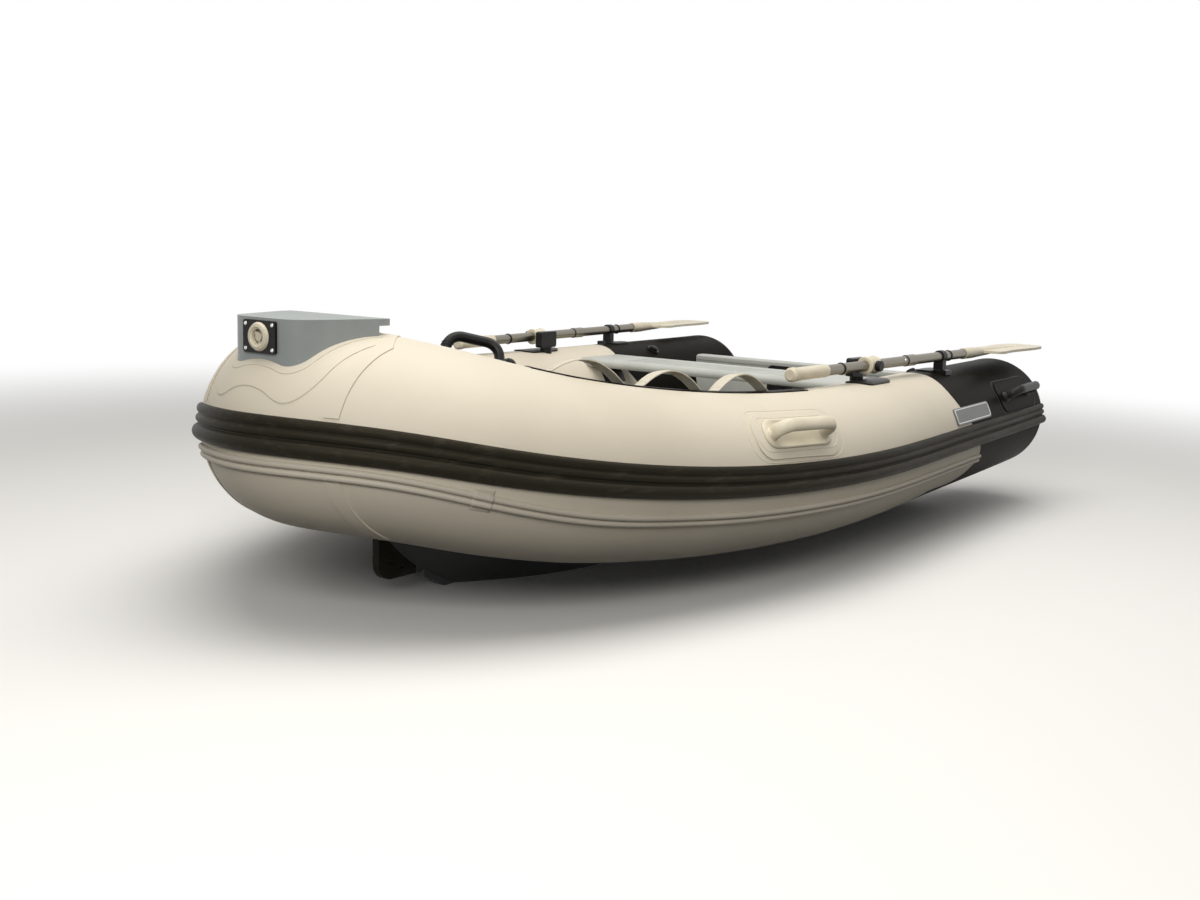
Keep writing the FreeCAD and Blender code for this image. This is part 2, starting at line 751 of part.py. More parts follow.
# Hatch on the locker, hinged at its fore edge
lid_z = LOCKER_TOP + HATCH_SEAT
lid = Part.Face(rounded_outline(HATCH_LENGTH, HATCH_WIDTH, HATCH_CORNER)).extrude(V(0, HATCH_THICK, 0))
lid.rotate(V(0, 0, 0), V(1, 0, 0), 90)
lid.translate(V(hatch_x, 0, lid_z))
hinge_x = at(HATCH_AFT) + HATCH_LENGTH + HINGE_RADIUS + HINGE_GAP
hinge_z = lid_z + HATCH_THICK
knuckles = []
ears = []
for y in (HINGE_Y, -HINGE_Y):
    start = V(hinge_x, y - HINGE_LENGTH / 2, hinge_z)
    knuckle = Part.makeCylinder(HINGE_RADIUS, HINGE_LENGTH, start, V(0, 1, 0))
    leaf = box(hinge_x - HINGE_RADIUS * 3, hinge_x, y - HINGE_LENGTH / 2, y + HINGE_LENGTH / 2,
               hinge_z, hinge_z + HINGE_PIN)
    knuckle = knuckle.fuse(leaf)
    bore = Part.makeCylinder(HINGE_PIN + PIN_CLEARANCE, HINGE_LENGTH + OVERRUN, start - V(0, OVERRUN / 2, 0),
                             V(0, 1, 0))
    knuckles.append(knuckle.cut(bore))
    reach = HINGE_LENGTH + 2 * (HINGE_SIDE_GAP + HINGE_EAR)
    pin = Part.makeCylinder(HINGE_PIN, reach, V(hinge_x, y - reach / 2, hinge_z), V(0, 1, 0))
    for side in (1, -1):
        y0 = y + side * (HINGE_LENGTH / 2 + HINGE_SIDE_GAP)
        y1 = y0 + side * HINGE_EAR
        ear = Part.makeCylinder(HINGE_RADIUS, HINGE_EAR, V(hinge_x, min(y0, y1), hinge_z), V(0, 1, 0))
        post = box(hinge_x - HINGE_RADIUS, hinge_x + HINGE_RADIUS, min(y0, y1), max(y0, y1),
                   LOCKER_TOP, hinge_z)
        pin = pin.fuse(ear.fuse(post))
    ears.append(pin.removeSplitter())
for knuckle in knuckles:
    lid = lid.fuse(knuckle)
put("locker_hatch", solid_of(lid))
put("locker_hinge_pins", group(*ears))

# Step moulded over the bow tube, with an overhanging top
step_floor = TUBE_HEIGHT + BOW_RISE
nose = at(STEP_NOSE)


def step_prism(fore, side, aft, top):
    """Upright prism on the step's plan, grown forward, sideways and aft."""
    x1 = nose + fore
    x0 = at(STEP_AFT) - aft
    wide = STEP_HALF + side
    narrow = STEP_NOSE_HALF + side
    z = step_floor
    prism = plate([V(x0, -wide, z), V(x1, -narrow, z), V(x1, narrow, z), V(x0, wide, z)], V(0, 0, top - z))
    corners = [e for e in prism.Edges if abs(e.CenterOfMass.x - x1) < SEAT and abs(e.CenterOfMass.y) > SEAT
               and abs(e.CenterOfMass.z - (top + z) / 2) < SEAT]
    return prism.makeFillet(STEP_CORNER + fore, corners)


step = step_prism(0, 0, 0, STEP_TOP)
half = STEP_HALF
lip = box(at(STEP_AFT) - STEP_OVERHANG, at(STEP_AFT), -half, half, STEP_TOP - STEP_LIP, STEP_TOP)
step = step.fuse(lip).removeSplitter()
step = step.cut(collar(SEAT))
put("bow_step", solid_of(step))

# Doubler patches glued round the foot of the step, one on the other
patch = None
for fore, side, aft, thick in PATCHES:
    sheet = collar(SEAT + thick).common(step_prism(fore, side, aft, STEP_TOP + LENGTH))
    patch = sheet if patch is None else patch.fuse(sheet)
patch = patch.cut(collar(SEAT)).cut(step_prism(SEAT, SEAT, SEAT, STEP_TOP + LENGTH)).removeSplitter()
band_room = band_prism(BAND_WIDTH + SEAT * 2)
strake_room = side_loft(strake_room_profile, MIDDLE / 2, MIDDLE, STATIONS_PER_SIDE)
for room in (band_room, strake_room):
    patch = patch.cut(room).cut(mirrored(room))
put("bow_patches", main_solid(patch))

# Round fairlead in a dark frame on the nose of the step
frame_face = Part.Face(rounded_outline(FAIRLEAD_FRAME, FAIRLEAD_FRAME_HEIGHT, STEP_EDGE))
fairlead_z = STEP_TOP - FAIRLEAD_FRAME_HEIGHT / 2 - STEP_EDGE
frame = frame_face.extrude(V(0, FAIRLEAD_FRAME_THICK, 0))
hole = Part.makeCylinder(FAIRLEAD_RADIUS + SEAT, FAIRLEAD_FRAME_THICK * 2, V(0, -FAIRLEAD_FRAME_THICK / 2, 0),
                         V(0, 1, 0))
frame = frame.cut(hole)
rod = FAIRLEAD_ROD
rim = [(FAIRLEAD_RADIUS - rod * a, rod * b) for a, b in RIM_SHARES]
rim_face = Part.Face(Part.makePolygon([V(r, y, 0) for r, y in rim + rim[:1]]))
fairlead = rim_face.revolve(V(0, 0, 0), V(0, 1, 0), 360)
boss = Part.makeCylinder(FAIRLEAD_HUB, FAIRLEAD_ROD, V(0, 0, 0), V(0, 1, 0))
fairlead = fairlead.fuse(boss)
for turn in (90, 210, 330):
    spoke = box(0, FAIRLEAD_RADIUS - FAIRLEAD_ROD, 0, FAIRLEAD_ROD * SPOKE_SHARE, -FAIRLEAD_SPOKE / 2, FAIRLEAD_SPOKE / 2)
    spoke.rotate(V(0, 0, 0), V(0, 1, 0), turn)
    fairlead = fairlead.fuse(spoke)
fairlead = fairlead.removeSplitter()
for shape in (frame, fairlead):
    shape.rotate(V(0, 0, 0), V(0, 0, 1), -90)
    shape.translate(V(nose, 0, fairlead_z))
put("fairlead_frame", solid_of(frame))
put("bow_fairlead", solid_of(fairlead))

# Lug on the stem with two eyes
lug_front = V(at(LUG_X), 0, LUG_Z)
lug = Part.makeCylinder(LUG_RADIUS, LUG_THICK, lug_front - V(0, LUG_THICK / 2, 0), V(0, 1, 0))
web = plate([
    V(at(LUG_X), -LUG_THICK / 2, LUG_Z - LUG_RADIUS),
    V(at(LUG_X) - LUG_RADIUS * 2, -LUG_THICK / 2, LUG_Z - LUG_RADIUS),
    V(at(LUG_X) - LUG_RADIUS * 2, -LUG_THICK / 2, LUG_Z + LUG_RADIUS * 2),
    V(at(LUG_X) + LUG_RADIUS, -LUG_THICK / 2, LUG_Z + LUG_RADIUS * 2),
    V(at(LUG_X) + LUG_RADIUS, -LUG_THICK / 2, LUG_Z)], V(0, LUG_THICK, 0))
lug = lug.fuse(web).removeSplitter()
for i in (0, 1):
    place = lug_front - V(LUG_BORE_PITCH * i, LUG_THICK, LUG_BORE_PITCH * i * LUG_SLANT_SHARE)
    lug = lug.cut(Part.makeCylinder(LUG_BORE, LUG_THICK * 2, place, V(0, 1, 0)))
lug = lug.cut(hull).cut(seat)
put("stem_lug", solid_of(lug))

# Thwart with a rounded fore edge, on brackets bonded to the tubes
def thwart_profile(y):
    x1 = at(THWART_FORE)
    x0 = x1 - THWART_DEPTH
    z1 = THWART_TOP
    z0 = z1 - THWART_THICK
    n = THWART_NOSE
    return Part.Wire([
        Part.makeLine(V(x0, y, z0), V(x1 - n, y, z0)),
        arc_through(V(x1 - n, y, z0), V(x1, y, (z0 + z1) / 2), V(x1 - n, y, z1)),
        Part.makeLine(V(x1 - n, y, z1), V(x0, y, z1)),
        Part.makeLine(V(x0, y, z1), V(x0, y, z0))])


thwart = Part.Face(thwart_profile(-THWART_HALF)).extrude(V(0, THWART_HALF * 2, 0)).cut(seat)
put("thwart", solid_of(thwart))
bracket_x = at(THWART_FORE) - THWART_DEPTH / 2
bracket = box(bracket_x - THWART_BRACKET, bracket_x + THWART_BRACKET, THWART_HALF / 2, THWART_HALF,
              THWART_TOP - THWART_THICK - THWART_BRACKET, THWART_TOP - THWART_THICK)
keep = collar(SEAT + THWART_BRACKET_THICK)
leg = bracket.common(keep).cut(seat)
ledge = box(bracket_x - THWART_BRACKET, bracket_x + THWART_BRACKET, THWART_HALF - THWART_LEDGE, THWART_HALF,
            THWART_TOP - THWART_THICK - THWART_BRACKET_THICK, THWART_TOP - THWART_THICK).cut(seat)
bracket = leg.fuse(ledge).removeSplitter()
put("thwart_brackets", group(bracket, mirrored(bracket)))


# Oars: built along their own line, grip forward, then set down on the port tube
def oar_x(x):
    return x - OAR_PIVOT


def tube_between(x0, x1, radius):
    return Part.makeCylinder(radius, x1 - x0, V(oar_x(x0), 0, 0), V(1, 0, 0))


def spun(points):
    """Turned piece from axial places and radii, closed on the axis."""
    outline = [V(x, 0, r) for x, r in points]
    outline = [V(points[0][0], 0, 0)] + outline + [V(points[-1][0], 0, 0)]
    return Part.Face(closed(outline)).revolve(V(0, 0, 0), V(1, 0, 0), 360)


def set_down(shape):
    """From the oar's own line to its place on the port tube."""
    moved = shape.copy()
    moved.rotate(V(0, 0, 0), V(0, 1, 0), OAR_SLOPE)
    moved.rotate(V(0, 0, 0), V(0, 0, 1), -OAR_TOE_IN)
    moved.translate(V(at(OAR_PIVOT), OAR_OFFSET, TUBE_HEIGHT + OAR_HEIGHT))
    return moved


blade_root = OAR_BLADE_END
shaft = tube_between(blade_root - OAR_SOCKET, OAR_GRIP_START + OAR_SOCKET, OAR_SHAFT_RADIUS)
sleeve = tube_between(OAR_JOINT, OAR_JOINT + JOINT_LENGTH, JOINT_RADIUS)
shaft = shaft.fuse(sleeve).removeSplitter()

# Blade: a thin paddle with a spine that runs out from the shaft socket
shoulder = OAR_TIP + (blade_root - OAR_TIP) * BLADE_SHOULDER_SHARE
w = BLADE_WIDTH / 2
neck = BLADE_NECK
tip_x = oar_x(OAR_TIP)
root_x = oar_x(blade_root)
blade_edge = Part.BSplineCurve()
blade_edge.interpolate([
    V(root_x - BLADE_NECK_LENGTH * 0.4, neck, 0),
    V(root_x - BLADE_NECK_LENGTH, neck * 1.6, 0),
    V(oar_x(shoulder) + BLADE_NECK_LENGTH * 0.4, w * 0.93, 0),
    V(oar_x(shoulder), w, 0),
    V(tip_x + BLADE_CORNER, w, 0),
    V(tip_x + BLADE_CORNER * 0.2, w * 0.78, 0),
    V(tip_x, 0, 0)])
edge = blade_edge.toShape()
other = edge.mirror(V(0, 0, 0), V(0, 1, 0))
start = blade_edge.StartPoint
blade_wire = Part.Wire(Part.__sortEdges__([edge, other, Part.makeLine(start, V(start.x, -start.y, start.z))]))
blade = Part.Face(blade_wire).extrude(V(0, 0, BLADE_THICK))
blade.translate(V(0, 0, -BLADE_THICK / 2))
spine = spun([
    (tip_x + BLADE_CORNER, BLADE_THICK * 0.6),
    (oar_x(shoulder), BLADE_SPINE),
    (root_x - OAR_SOCKET, OAR_SHAFT_RADIUS + SOCKET_WALL),
    (root_x, OAR_SHAFT_RADIUS + SOCKET_WALL)])
socket = tube_between(blade_root - OAR_SOCKET - SEAT, blade_root + OVERRUN, OAR_SHAFT_RADIUS + SEAT)
blade = blade.fuse(spine).removeSplitter().cut(socket)

# Grip, collar and clip ring on the shaft
g0 = oar_x(OAR_GRIP_START)
g1 = oar_x(OAR_GRIP_END)
grip = spun([
    (g0, OAR_SHAFT_RADIUS + SOCKET_WALL),
    (g0 + GRIP_RADIUS, GRIP_RADIUS),
    (g1 - GRIP_END_RADIUS * 1.6, GRIP_RADIUS),
    (g1 - GRIP_END_RADIUS, GRIP_END_RADIUS),
    (g1 - GRIP_END_RADIUS * 0.3, GRIP_END_RADIUS),
    (g1, GRIP_END_RADIUS * 0.7)])
grip = grip.cut(tube_between(OAR_GRIP_START - OVERRUN, OAR_GRIP_START + OAR_SOCKET + SEAT, OAR_SHAFT_RADIUS + SEAT))
c0 = -COLLAR_LENGTH / 2
c1 = COLLAR_LENGTH / 2
collar_piece = spun([
    (c0, COLLAR_RADIUS), (c0 + COLLAR_LIP, COLLAR_RADIUS + COLLAR_LIP),
    (c0 + COLLAR_LIP * 2, COLLAR_RADIUS), (c1 - COLLAR_LIP * 2, COLLAR_RADIUS),
    (c1 - COLLAR_LIP, COLLAR_RADIUS + COLLAR_LIP), (c1, COLLAR_RADIUS)])
collar_bore = Part.makeCylinder(OAR_SHAFT_RADIUS + SEAT, COLLAR_LENGTH * 2, V(-COLLAR_LENGTH, 0, 0), V(1, 0, 0))
collar_piece = collar_piece.cut(collar_bore)

# Rowlock: swivel block inboard of the oar, its stub in the collar, knob outboard
block_y = -(COLLAR_RADIUS + COLLAR_LIP + SWIVEL_SIDE_GAP + SWIVEL_WIDTH / 2)
pivot_station = Station(parameter_at_x(OAR_PIVOT))
crown = pivot_station.centre.z + pivot_station.radius
boss_top = crown + BOSS_RISE
block_height = TUBE_HEIGHT + OAR_HEIGHT + SWIVEL_RISE - boss_top - SWING_GAP
block = Part.Face(rounded_outline(SWIVEL_LENGTH, block_height, SWIVEL_CORNER)).extrude(V(0, SWIVEL_WIDTH, 0))
block.translate(V(0, block_y - SWIVEL_WIDTH / 2, SWIVEL_RISE - block_height / 2))
block.rotate(V(0, block_y, 0), V(0, 1, 0), -OAR_SLOPE)
stub_end = -OAR_SHAFT_RADIUS - SEAT
stub = Part.makeCylinder(PIN_RADIUS, stub_end - block_y, V(0, block_y, 0), V(0, 1, 0))
swivel = block.fuse(stub).removeSplitter()
collar_piece = collar_piece.cut(Part.makeCylinder(PIN_RADIUS + SEAT, COLLAR_RADIUS * 2, V(0, -COLLAR_RADIUS * 2, 0),
                                                  V(0, 1, 0)))
knob_start = COLLAR_RADIUS + SEAT
knob = Part.makeCylinder(KNOB_RADIUS, KNOB_LENGTH, V(0, knob_start, 0), V(0, 1, 0))
knob = knob.makeFillet(KNOB_FILLET, [e for e in knob.Edges if e.Curve.TypeId == "Part::GeomCircle"])

# Clip ring that holds the parked oar down on its rest
clip_x = oar_x(OAR_CLIP)
ring_out = OAR_SHAFT_RADIUS + SEAT + CLIP_WALL
clip = Part.makeCylinder(ring_out, CLIP_LENGTH, V(clip_x - CLIP_LENGTH / 2, 0, 0), V(1, 0, 0))

clip_world = V(at(OAR_PIVOT) + clip_x * math.cos(math.radians(OAR_TOE_IN)),
               OAR_OFFSET - clip_x * math.sin(math.radians(OAR_TOE_IN)), 0)
clip_drop = -clip_x * math.sin(math.radians(OAR_SLOPE))
station = Station(parameter_at_x(OAR_CLIP))
tube_crown = station.centre.z + station.radius
rest_top = tube_crown + REST_THICK
foot_depth = TUBE_HEIGHT + OAR_HEIGHT + clip_drop - rest_top - CLIP_GAP
foot = box(clip_x - CLIP_LENGTH / 2, clip_x + CLIP_LENGTH / 2, -CLIP_FOOT / 2, CLIP_FOOT / 2, -foot_depth, 0)
clip = clip.fuse(foot).removeSplitter()
clip_bore = Part.makeCylinder(OAR_SHAFT_RADIUS + SEAT, CLIP_LENGTH * 2, V(clip_x - CLIP_LENGTH, 0, 0), V(1, 0, 0))
clip = clip.cut(clip_bore)

# Spigot under the swivel block, upright so that the oar swings level
pivot_world = set_down(Part.Vertex(V(0, block_y, 0))).Point
block_foot = boss_top + SWING_GAP
swivel = set_down(swivel)
spigot_foot = boss_top - SPIGOT_LENGTH
spigot = Part.makeCylinder(SPIGOT_RADIUS, block_foot + SWIVEL_WIDTH / 2 - spigot_foot,
                           V(pivot_world.x, pivot_world.y, spigot_foot), V(0, 0, 1))
swivel = swivel.fuse(spigot).removeSplitter()

base = tube_pad(OAR_PIVOT, 90, BASE_LENGTH, BASE_WIDTH, BASE_THICK, PAD_CORNER_SHARE)
boss = Part.makeCylinder(BOSS_RADIUS, boss_top - crown + BASE_THICK * 4,
                         V(pivot_world.x, pivot_world.y, crown - BASE_THICK * 4), V(0, 0, 1)).cut(seat)
base = base.fuse(boss).removeSplitter()
socket_bore = Part.makeCylinder(SPIGOT_RADIUS + SPIGOT_CLEARANCE, LENGTH,
                                V(pivot_world.x, pivot_world.y, spigot_foot - SWING_GAP), V(0, 0, 1))
base = base.cut(socket_bore)
put("rowlock_bases", group(base, mirrored(base)))

rest = tube_pad(OAR_CLIP, 90, REST_LENGTH, REST_WIDTH, REST_THICK, PAD_CORNER_SHARE)
rest_flat = box(clip_world.x - CLIP_LENGTH, clip_world.x + CLIP_LENGTH, clip_world.y - CLIP_FOOT,
                clip_world.y + CLIP_FOOT, tube_crown - REST_THICK * 2, rest_top).cut(seat)
rest = rest.fuse(rest_flat)
rest = rest.common(box(-LENGTH, LENGTH, 0, LENGTH, 0, rest_top)).removeSplitter()
put("oar_rests", group(rest, mirrored(rest)))

for name, shape in (("shaft", set_down(shaft)), ("blade", set_down(blade)), ("grip", set_down(grip)),
                    ("collar", set_down(collar_piece)), ("clip", set_down(clip)),
                    ("swivel", group(swivel, set_down(knob)))):
    put("oar_port_" + name, solid_of(shape))
    put("oar_starboard_" + name, solid_of(mirrored(shape)))


# Moulded grab handles with their pads on the outboard shoulders
def loop_handle(length, stand, rod, half_width, foot):
    """Bar handle along local X standing off along local Y, with flared feet."""
    a = length / 2 - rod
    rise = stand
    spine = Part.Wire([
        Part.makeLine(V(-a, 0, 0), V(-a, rise * HANDLE_LEG_SHARE, 0)),
        arc_through(V(-a, rise * HANDLE_LEG_SHARE, 0),
                    V(-a + (rise * (1 - HANDLE_LEG_SHARE)) * (1 - math.sqrt(0.5)),
                      rise * HANDLE_LEG_SHARE + rise * (1 - HANDLE_LEG_SHARE) * math.sqrt(0.5), 0),
                    V(-a + rise * (1 - HANDLE_LEG_SHARE), rise, 0)),
        Part.makeLine(V(-a + rise * (1 - HANDLE_LEG_SHARE), rise, 0), V(a - rise * (1 - HANDLE_LEG_SHARE), rise, 0)),
        arc_through(V(a - rise * (1 - HANDLE_LEG_SHARE), rise, 0),
                    V(a - (rise * (1 - HANDLE_LEG_SHARE)) * (1 - math.sqrt(0.5)),
                      rise * HANDLE_LEG_SHARE + rise * (1 - HANDLE_LEG_SHARE) * math.sqrt(0.5), 0),
                    V(a, rise * HANDLE_LEG_SHARE, 0)),
        Part.makeLine(V(a, rise * HANDLE_LEG_SHARE, 0), V(a, 0, 0))])
    start = V(-a, 0, 0)
    bar_end = Part.Ellipse(start + V(0, 0, half_width), start + V(rod, 0, 0), start)
    section = Part.Wire([bar_end.toShape()])
    bar = spine.makePipeShell([section], True, True)
    for x in (-a, a):
        cone = Part.makeCone(foot / 2, rod, rise * HANDLE_LEG_SHARE, V(x, 0, 0), V(0, 1, 0))
        bar = bar.fuse(cone)
    return bar.removeSplitter()


def handle_set(x, angle, length, stand, rod, half_width, foot, pad_length, pad_height):
    pad = tube_pad(x, angle, pad_length, pad_height, PAD_THICK, PAD_CORNER_SHARE)
    grip_shape = loop_handle(length, stand + foot / 2, rod, half_width, foot)
    grip_shape.translate(V(0, -foot / 4, 0))
    grip_shape = on_tube(grip_shape, x, angle, PAD_THICK)
    grip_shape = grip_shape.cut(collar(SEAT * 2 + PAD_THICK))
    return grip_shape, pad


grab, grab_pad = handle_set(GRAB_X, GRAB_ANGLE, GRAB_LENGTH, GRAB_STAND, GRAB_ROD, GRAB_HALF_WIDTH, GRAB_FOOT,
                            GRAB_PAD_LENGTH, GRAB_PAD_HEIGHT)
put("grab_handles", group(grab, mirrored(grab)))
aft, aft_pad = handle_set(STERN_GRIP_X, STERN_GRIP_ANGLE, STERN_GRIP_LENGTH, GRAB_STAND, CARRY_ROD, CARRY_HALF_WIDTH,
                          GRAB_FOOT, STERN_PAD_LENGTH, STERN_PAD_HEIGHT)
bow, bow_pad = handle_set(BOW_GRIP_X, BOW_GRIP_ANGLE, BOW_GRIP_LENGTH, GRAB_STAND, CARRY_ROD, CARRY_HALF_WIDTH,
                          GRAB_FOOT, BOW_PAD_LENGTH, BOW_PAD_HEIGHT)
put("carry_handles", group(aft, mirrored(aft), bow, mirrored(bow)))
put("carry_pads", group(aft_pad, mirrored(aft_pad), bow_pad, mirrored(bow_pad)))
put("grab_pads", group(grab_pad, mirrored(grab_pad)))

# Wear strips inside the tube tops and the webbing hand straps over them
strip_half_angle = math.degrees(STRIP_WIDTH / 2 / TUBE_RADIUS)
strip = tube_shell(STRIP_AFT, STRIP_FORE, STRAP_ANGLE - strip_half_angle, STRAP_ANGLE + strip_half_angle,
                   PAD_THICK * 2, STATIONS_PER_SIDE).common(collar(SEAT + PAD_THICK)).cut(seat)
put("wear_strips", group(strip, mirrored(strip)))


def strap_over(x0, x1):
    """Webbing bowed up between two sewn ends."""
    half_angle = math.degrees(STRAP_WIDTH / 2 / TUBE_RADIUS)
    u0 = parameter_at_x(x0)
    u1 = parameter_at_x(x1)
    wires = []
    for i in range(STRAP_STATIONS):
        t = i / (STRAP_STATIONS - 1)
        station = Station(u0 + (u1 - u0) * t)
        lift = SEAT * 2 + PAD_THICK
        ends = STRAP_END_SHARE
        if ends < t < 1 - ends:
            lift += STRAP_RISE * math.sin(math.pi * (t - ends) / (1 - 2 * ends)) ** 0.8
        wires.append(shell_wire(station, STRAP_ANGLE - half_angle, STRAP_ANGLE + half_angle,
                                lift, lift + STRAP_THICK))
    return Part.makeLoft(wires, True, False)


straps = [main_solid(strap_over(x1, x0).cut(collar(SEAT * 2 + PAD_THICK))) for x0, x1 in STRAP_SPANS]
put("hand_straps", group(*(straps + [mirrored(strap) for strap in straps])))

# Blank plates, air valves and lifting eyes
badge = tube_pad(BADGE_X, BADGE_ANGLE, BADGE_LENGTH, BADGE_HEIGHT, BADGE_THICK, BADGE_CORNER_SHARE)
put("badge_plates", group(badge, mirrored(badge)))
valves = []
for x in VALVE_PLACES:
    valve = Part.makeCylinder(VALVE_RADIUS, VALVE_HEIGHT * 2, V(0, -VALVE_HEIGHT, 0), V(0, 1, 0))
    cap = Part.makeCylinder(VALVE_RADIUS * VALVE_CAP_SHARE, VALVE_HEIGHT, V(0, VALVE_HEIGHT, 0), V(0, 1, 0))
    valves.append(on_tube(valve.fuse(cap).removeSplitter(), x, VALVE_ANGLE, 0).cut(seat))
put("air_valves", group(*(valves + [mirrored(valve) for valve in valves])))
eyes = []
eye_reach = LIFT_EYE_BORE + LIFT_EYE_ROD * 1.5
for y in (LIFT_EYE_Y, -LIFT_EYE_Y):
    centre = V(at(TRANSOM_AFT) - eye_reach, y, LIFT_EYE_HEIGHT)
    eye = Part.makeTorus(LIFT_EYE_BORE + LIFT_EYE_ROD / 2, LIFT_EYE_ROD / 2, centre, V(0, 1, 0))
    eye_foot = Part.makeCylinder(LIFT_EYE_BORE, LIFT_EYE_ROD, centre + V(eye_reach - LIFT_EYE_ROD, 0, 0), V(1, 0, 0))
    eyes.append(eye.fuse(eye_foot).removeSplitter())
put("lifting_eyes", group(*eyes))
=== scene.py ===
import math

import bmesh
import bpy
from mathutils import Matrix, Vector
from mathutils.bvhtree import BVHTree


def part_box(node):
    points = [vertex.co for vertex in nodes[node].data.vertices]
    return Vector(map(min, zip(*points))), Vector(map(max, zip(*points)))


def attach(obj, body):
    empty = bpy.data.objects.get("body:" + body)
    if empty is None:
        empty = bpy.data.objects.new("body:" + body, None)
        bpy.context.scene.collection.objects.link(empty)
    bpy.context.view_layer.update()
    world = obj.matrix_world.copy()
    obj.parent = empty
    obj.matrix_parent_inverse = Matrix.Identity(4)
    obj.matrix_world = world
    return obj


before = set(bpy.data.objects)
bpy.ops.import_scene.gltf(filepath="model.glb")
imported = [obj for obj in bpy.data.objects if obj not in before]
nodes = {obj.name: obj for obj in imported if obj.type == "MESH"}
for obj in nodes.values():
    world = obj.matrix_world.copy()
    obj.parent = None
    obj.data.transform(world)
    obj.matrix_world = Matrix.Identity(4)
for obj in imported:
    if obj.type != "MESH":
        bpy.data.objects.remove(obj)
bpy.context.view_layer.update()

# Camera. It stands off the port bow a little above the tubes, level with
# a person bending to look along the boat, and leans very slightly.
EYE = Vector((3.568, 2.393, 0.944))
EYE_YAW = 0.6113
EYE_PITCH = 0.1566
EYE_LEAN = 0.0324
LENS_MM = 40.90
SENSOR_MM = 36.0

look = Vector((-math.cos(EYE_YAW) * math.cos(EYE_PITCH),
               -math.sin(EYE_YAW) * math.cos(EYE_PITCH), -math.sin(EYE_PITCH)))
level = look.cross(Vector((0, 0, 1))).normalized()
upright = level.cross(look)
across = level * math.cos(EYE_LEAN) + upright * math.sin(EYE_LEAN)
upward = upright * math.cos(EYE_LEAN) - level * math.sin(EYE_LEAN)
camera = bpy.data.objects.new("camera", bpy.data.cameras.new("camera"))
camera.data.lens = LENS_MM
camera.data.sensor_width = SENSOR_MM
camera.data.sensor_fit = "HORIZONTAL"
camera.matrix_world = Matrix((across, upward, -look)).transposed().to_4x4()
camera.matrix_world.translation = EYE
bpy.context.scene.collection.objects.link(camera)
bpy.context.scene.camera = camera
bpy.context.scene.view_settings.view_transform = "Standard"


# Floor and studio. The floor is the still water level, plain and pale; it
# takes the boat's shadow near by and fades to white further off.
class Wire:
    """A shader socket that adds Math nodes when it is used in a sum."""

    def __init__(self, finish, socket):
        self.finish = finish
        self.socket = socket

    def math(self, operation, *values):
        sockets = {i: value for i, value in enumerate(values)}
        return self.finish.node("ShaderNodeMath", {"operation": operation}, sockets)

    def __add__(self, other):
        return self.math("ADD", self, other)

    __radd__ = __add__

    def __mul__(self, other):
        return self.math("MULTIPLY", self, other)

    __rmul__ = __mul__

    def __rsub__(self, other):
        return self.math("SUBTRACT", other, self)

    def most(self, other):
        return self.math("MAXIMUM", self, other)

    def root(self):
        return self.math("SQRT", self)

    def above(self, edge):
        return self.math("GREATER_THAN", self, edge)

    def fade(self, start, end):
        """0 at start, 1 at end, smooth between."""
        sockets = {"Value": self, "From Min": start, "From Max": end}
        return self.finish.node("ShaderNodeMapRange", {"interpolation_type": "SMOOTHSTEP"}, sockets)


class Finish:
    """One material, put together node by node."""

    def __init__(self, name, **settings):
        self.material = bpy.data.materials.new(name)
        self.material.use_nodes = True
        self.tree = self.material.node_tree
        self.shader = self.tree.nodes["Principled BSDF"]
        for label, value in settings.items():
            self.shader.inputs[label.replace("_", " ")].default_value = value
        self.place = self.node("ShaderNodeTexCoord", {}, {}, "Object")

    def node(self, kind, settings, sockets, output=0):
        made = self.tree.nodes.new(kind)
        for label, value in settings.items():
            setattr(made, label, value)
        for label, value in sockets.items():
            self.feed(made.inputs[label], value)
        return Wire(self, made.outputs[output])

    def feed(self, socket, value):
        if isinstance(value, Wire):
            self.tree.links.new(value.socket, socket)
        else:
            socket.default_value = value

    def axes(self):
        parts = self.node("ShaderNodeSeparateXYZ", {}, {0: self.place})
        made = parts.socket.node
        return [Wire(self, made.outputs[i]) for i in range(3)]

    def noise(self, scale, detail=3.0, stretch=None, rough=0.5):
        place = self.place
        if stretch:
            place = self.node("ShaderNodeMapping", {}, {"Vector": place, "Scale": stretch})
        sockets = {"Vector": place, "Scale": scale, "Detail": detail, "Roughness": rough}
        return self.node("ShaderNodeTexNoise", {}, sockets)

    def mix(self, factor, low, high):
        """Colour between two colours or colour wires."""
        def full(c):
            return c if isinstance(c, Wire) else (*c, 1.0)
        sockets = {0: factor, 6: full(low), 7: full(high)}
        return self.node("ShaderNodeMix", {"data_type": "RGBA"}, sockets, 2)

    def set(self, label, value):
        self.feed(self.shader.inputs[label], value)

    def bump(self, height, strength, distance):
        sockets = {"Height": height, "Strength": strength, "Distance": distance}
        self.set("Normal", self.node("ShaderNodeBump", {}, sockets))


def put_mesh(name, vertices, faces, finish, smooth=True):
    """New mesh object in the part's own frame, with outward faces."""
    mesh = bpy.data.meshes.new(name)
    mesh.from_pydata([tuple(v) for v in vertices], [], faces)
    work = bmesh.new()
    work.from_mesh(mesh)
    bmesh.ops.remove_doubles(work, verts=work.verts, dist=1e-6)
    bmesh.ops.recalc_face_normals(work, faces=work.faces)
    work.to_mesh(mesh)
    work.free()
    for face in mesh.polygons:
        face.use_smooth = smooth
    made = bpy.data.objects.new(name, mesh)
    bpy.context.scene.collection.objects.link(made)
    made.data.materials.append(finish.material)
    return made


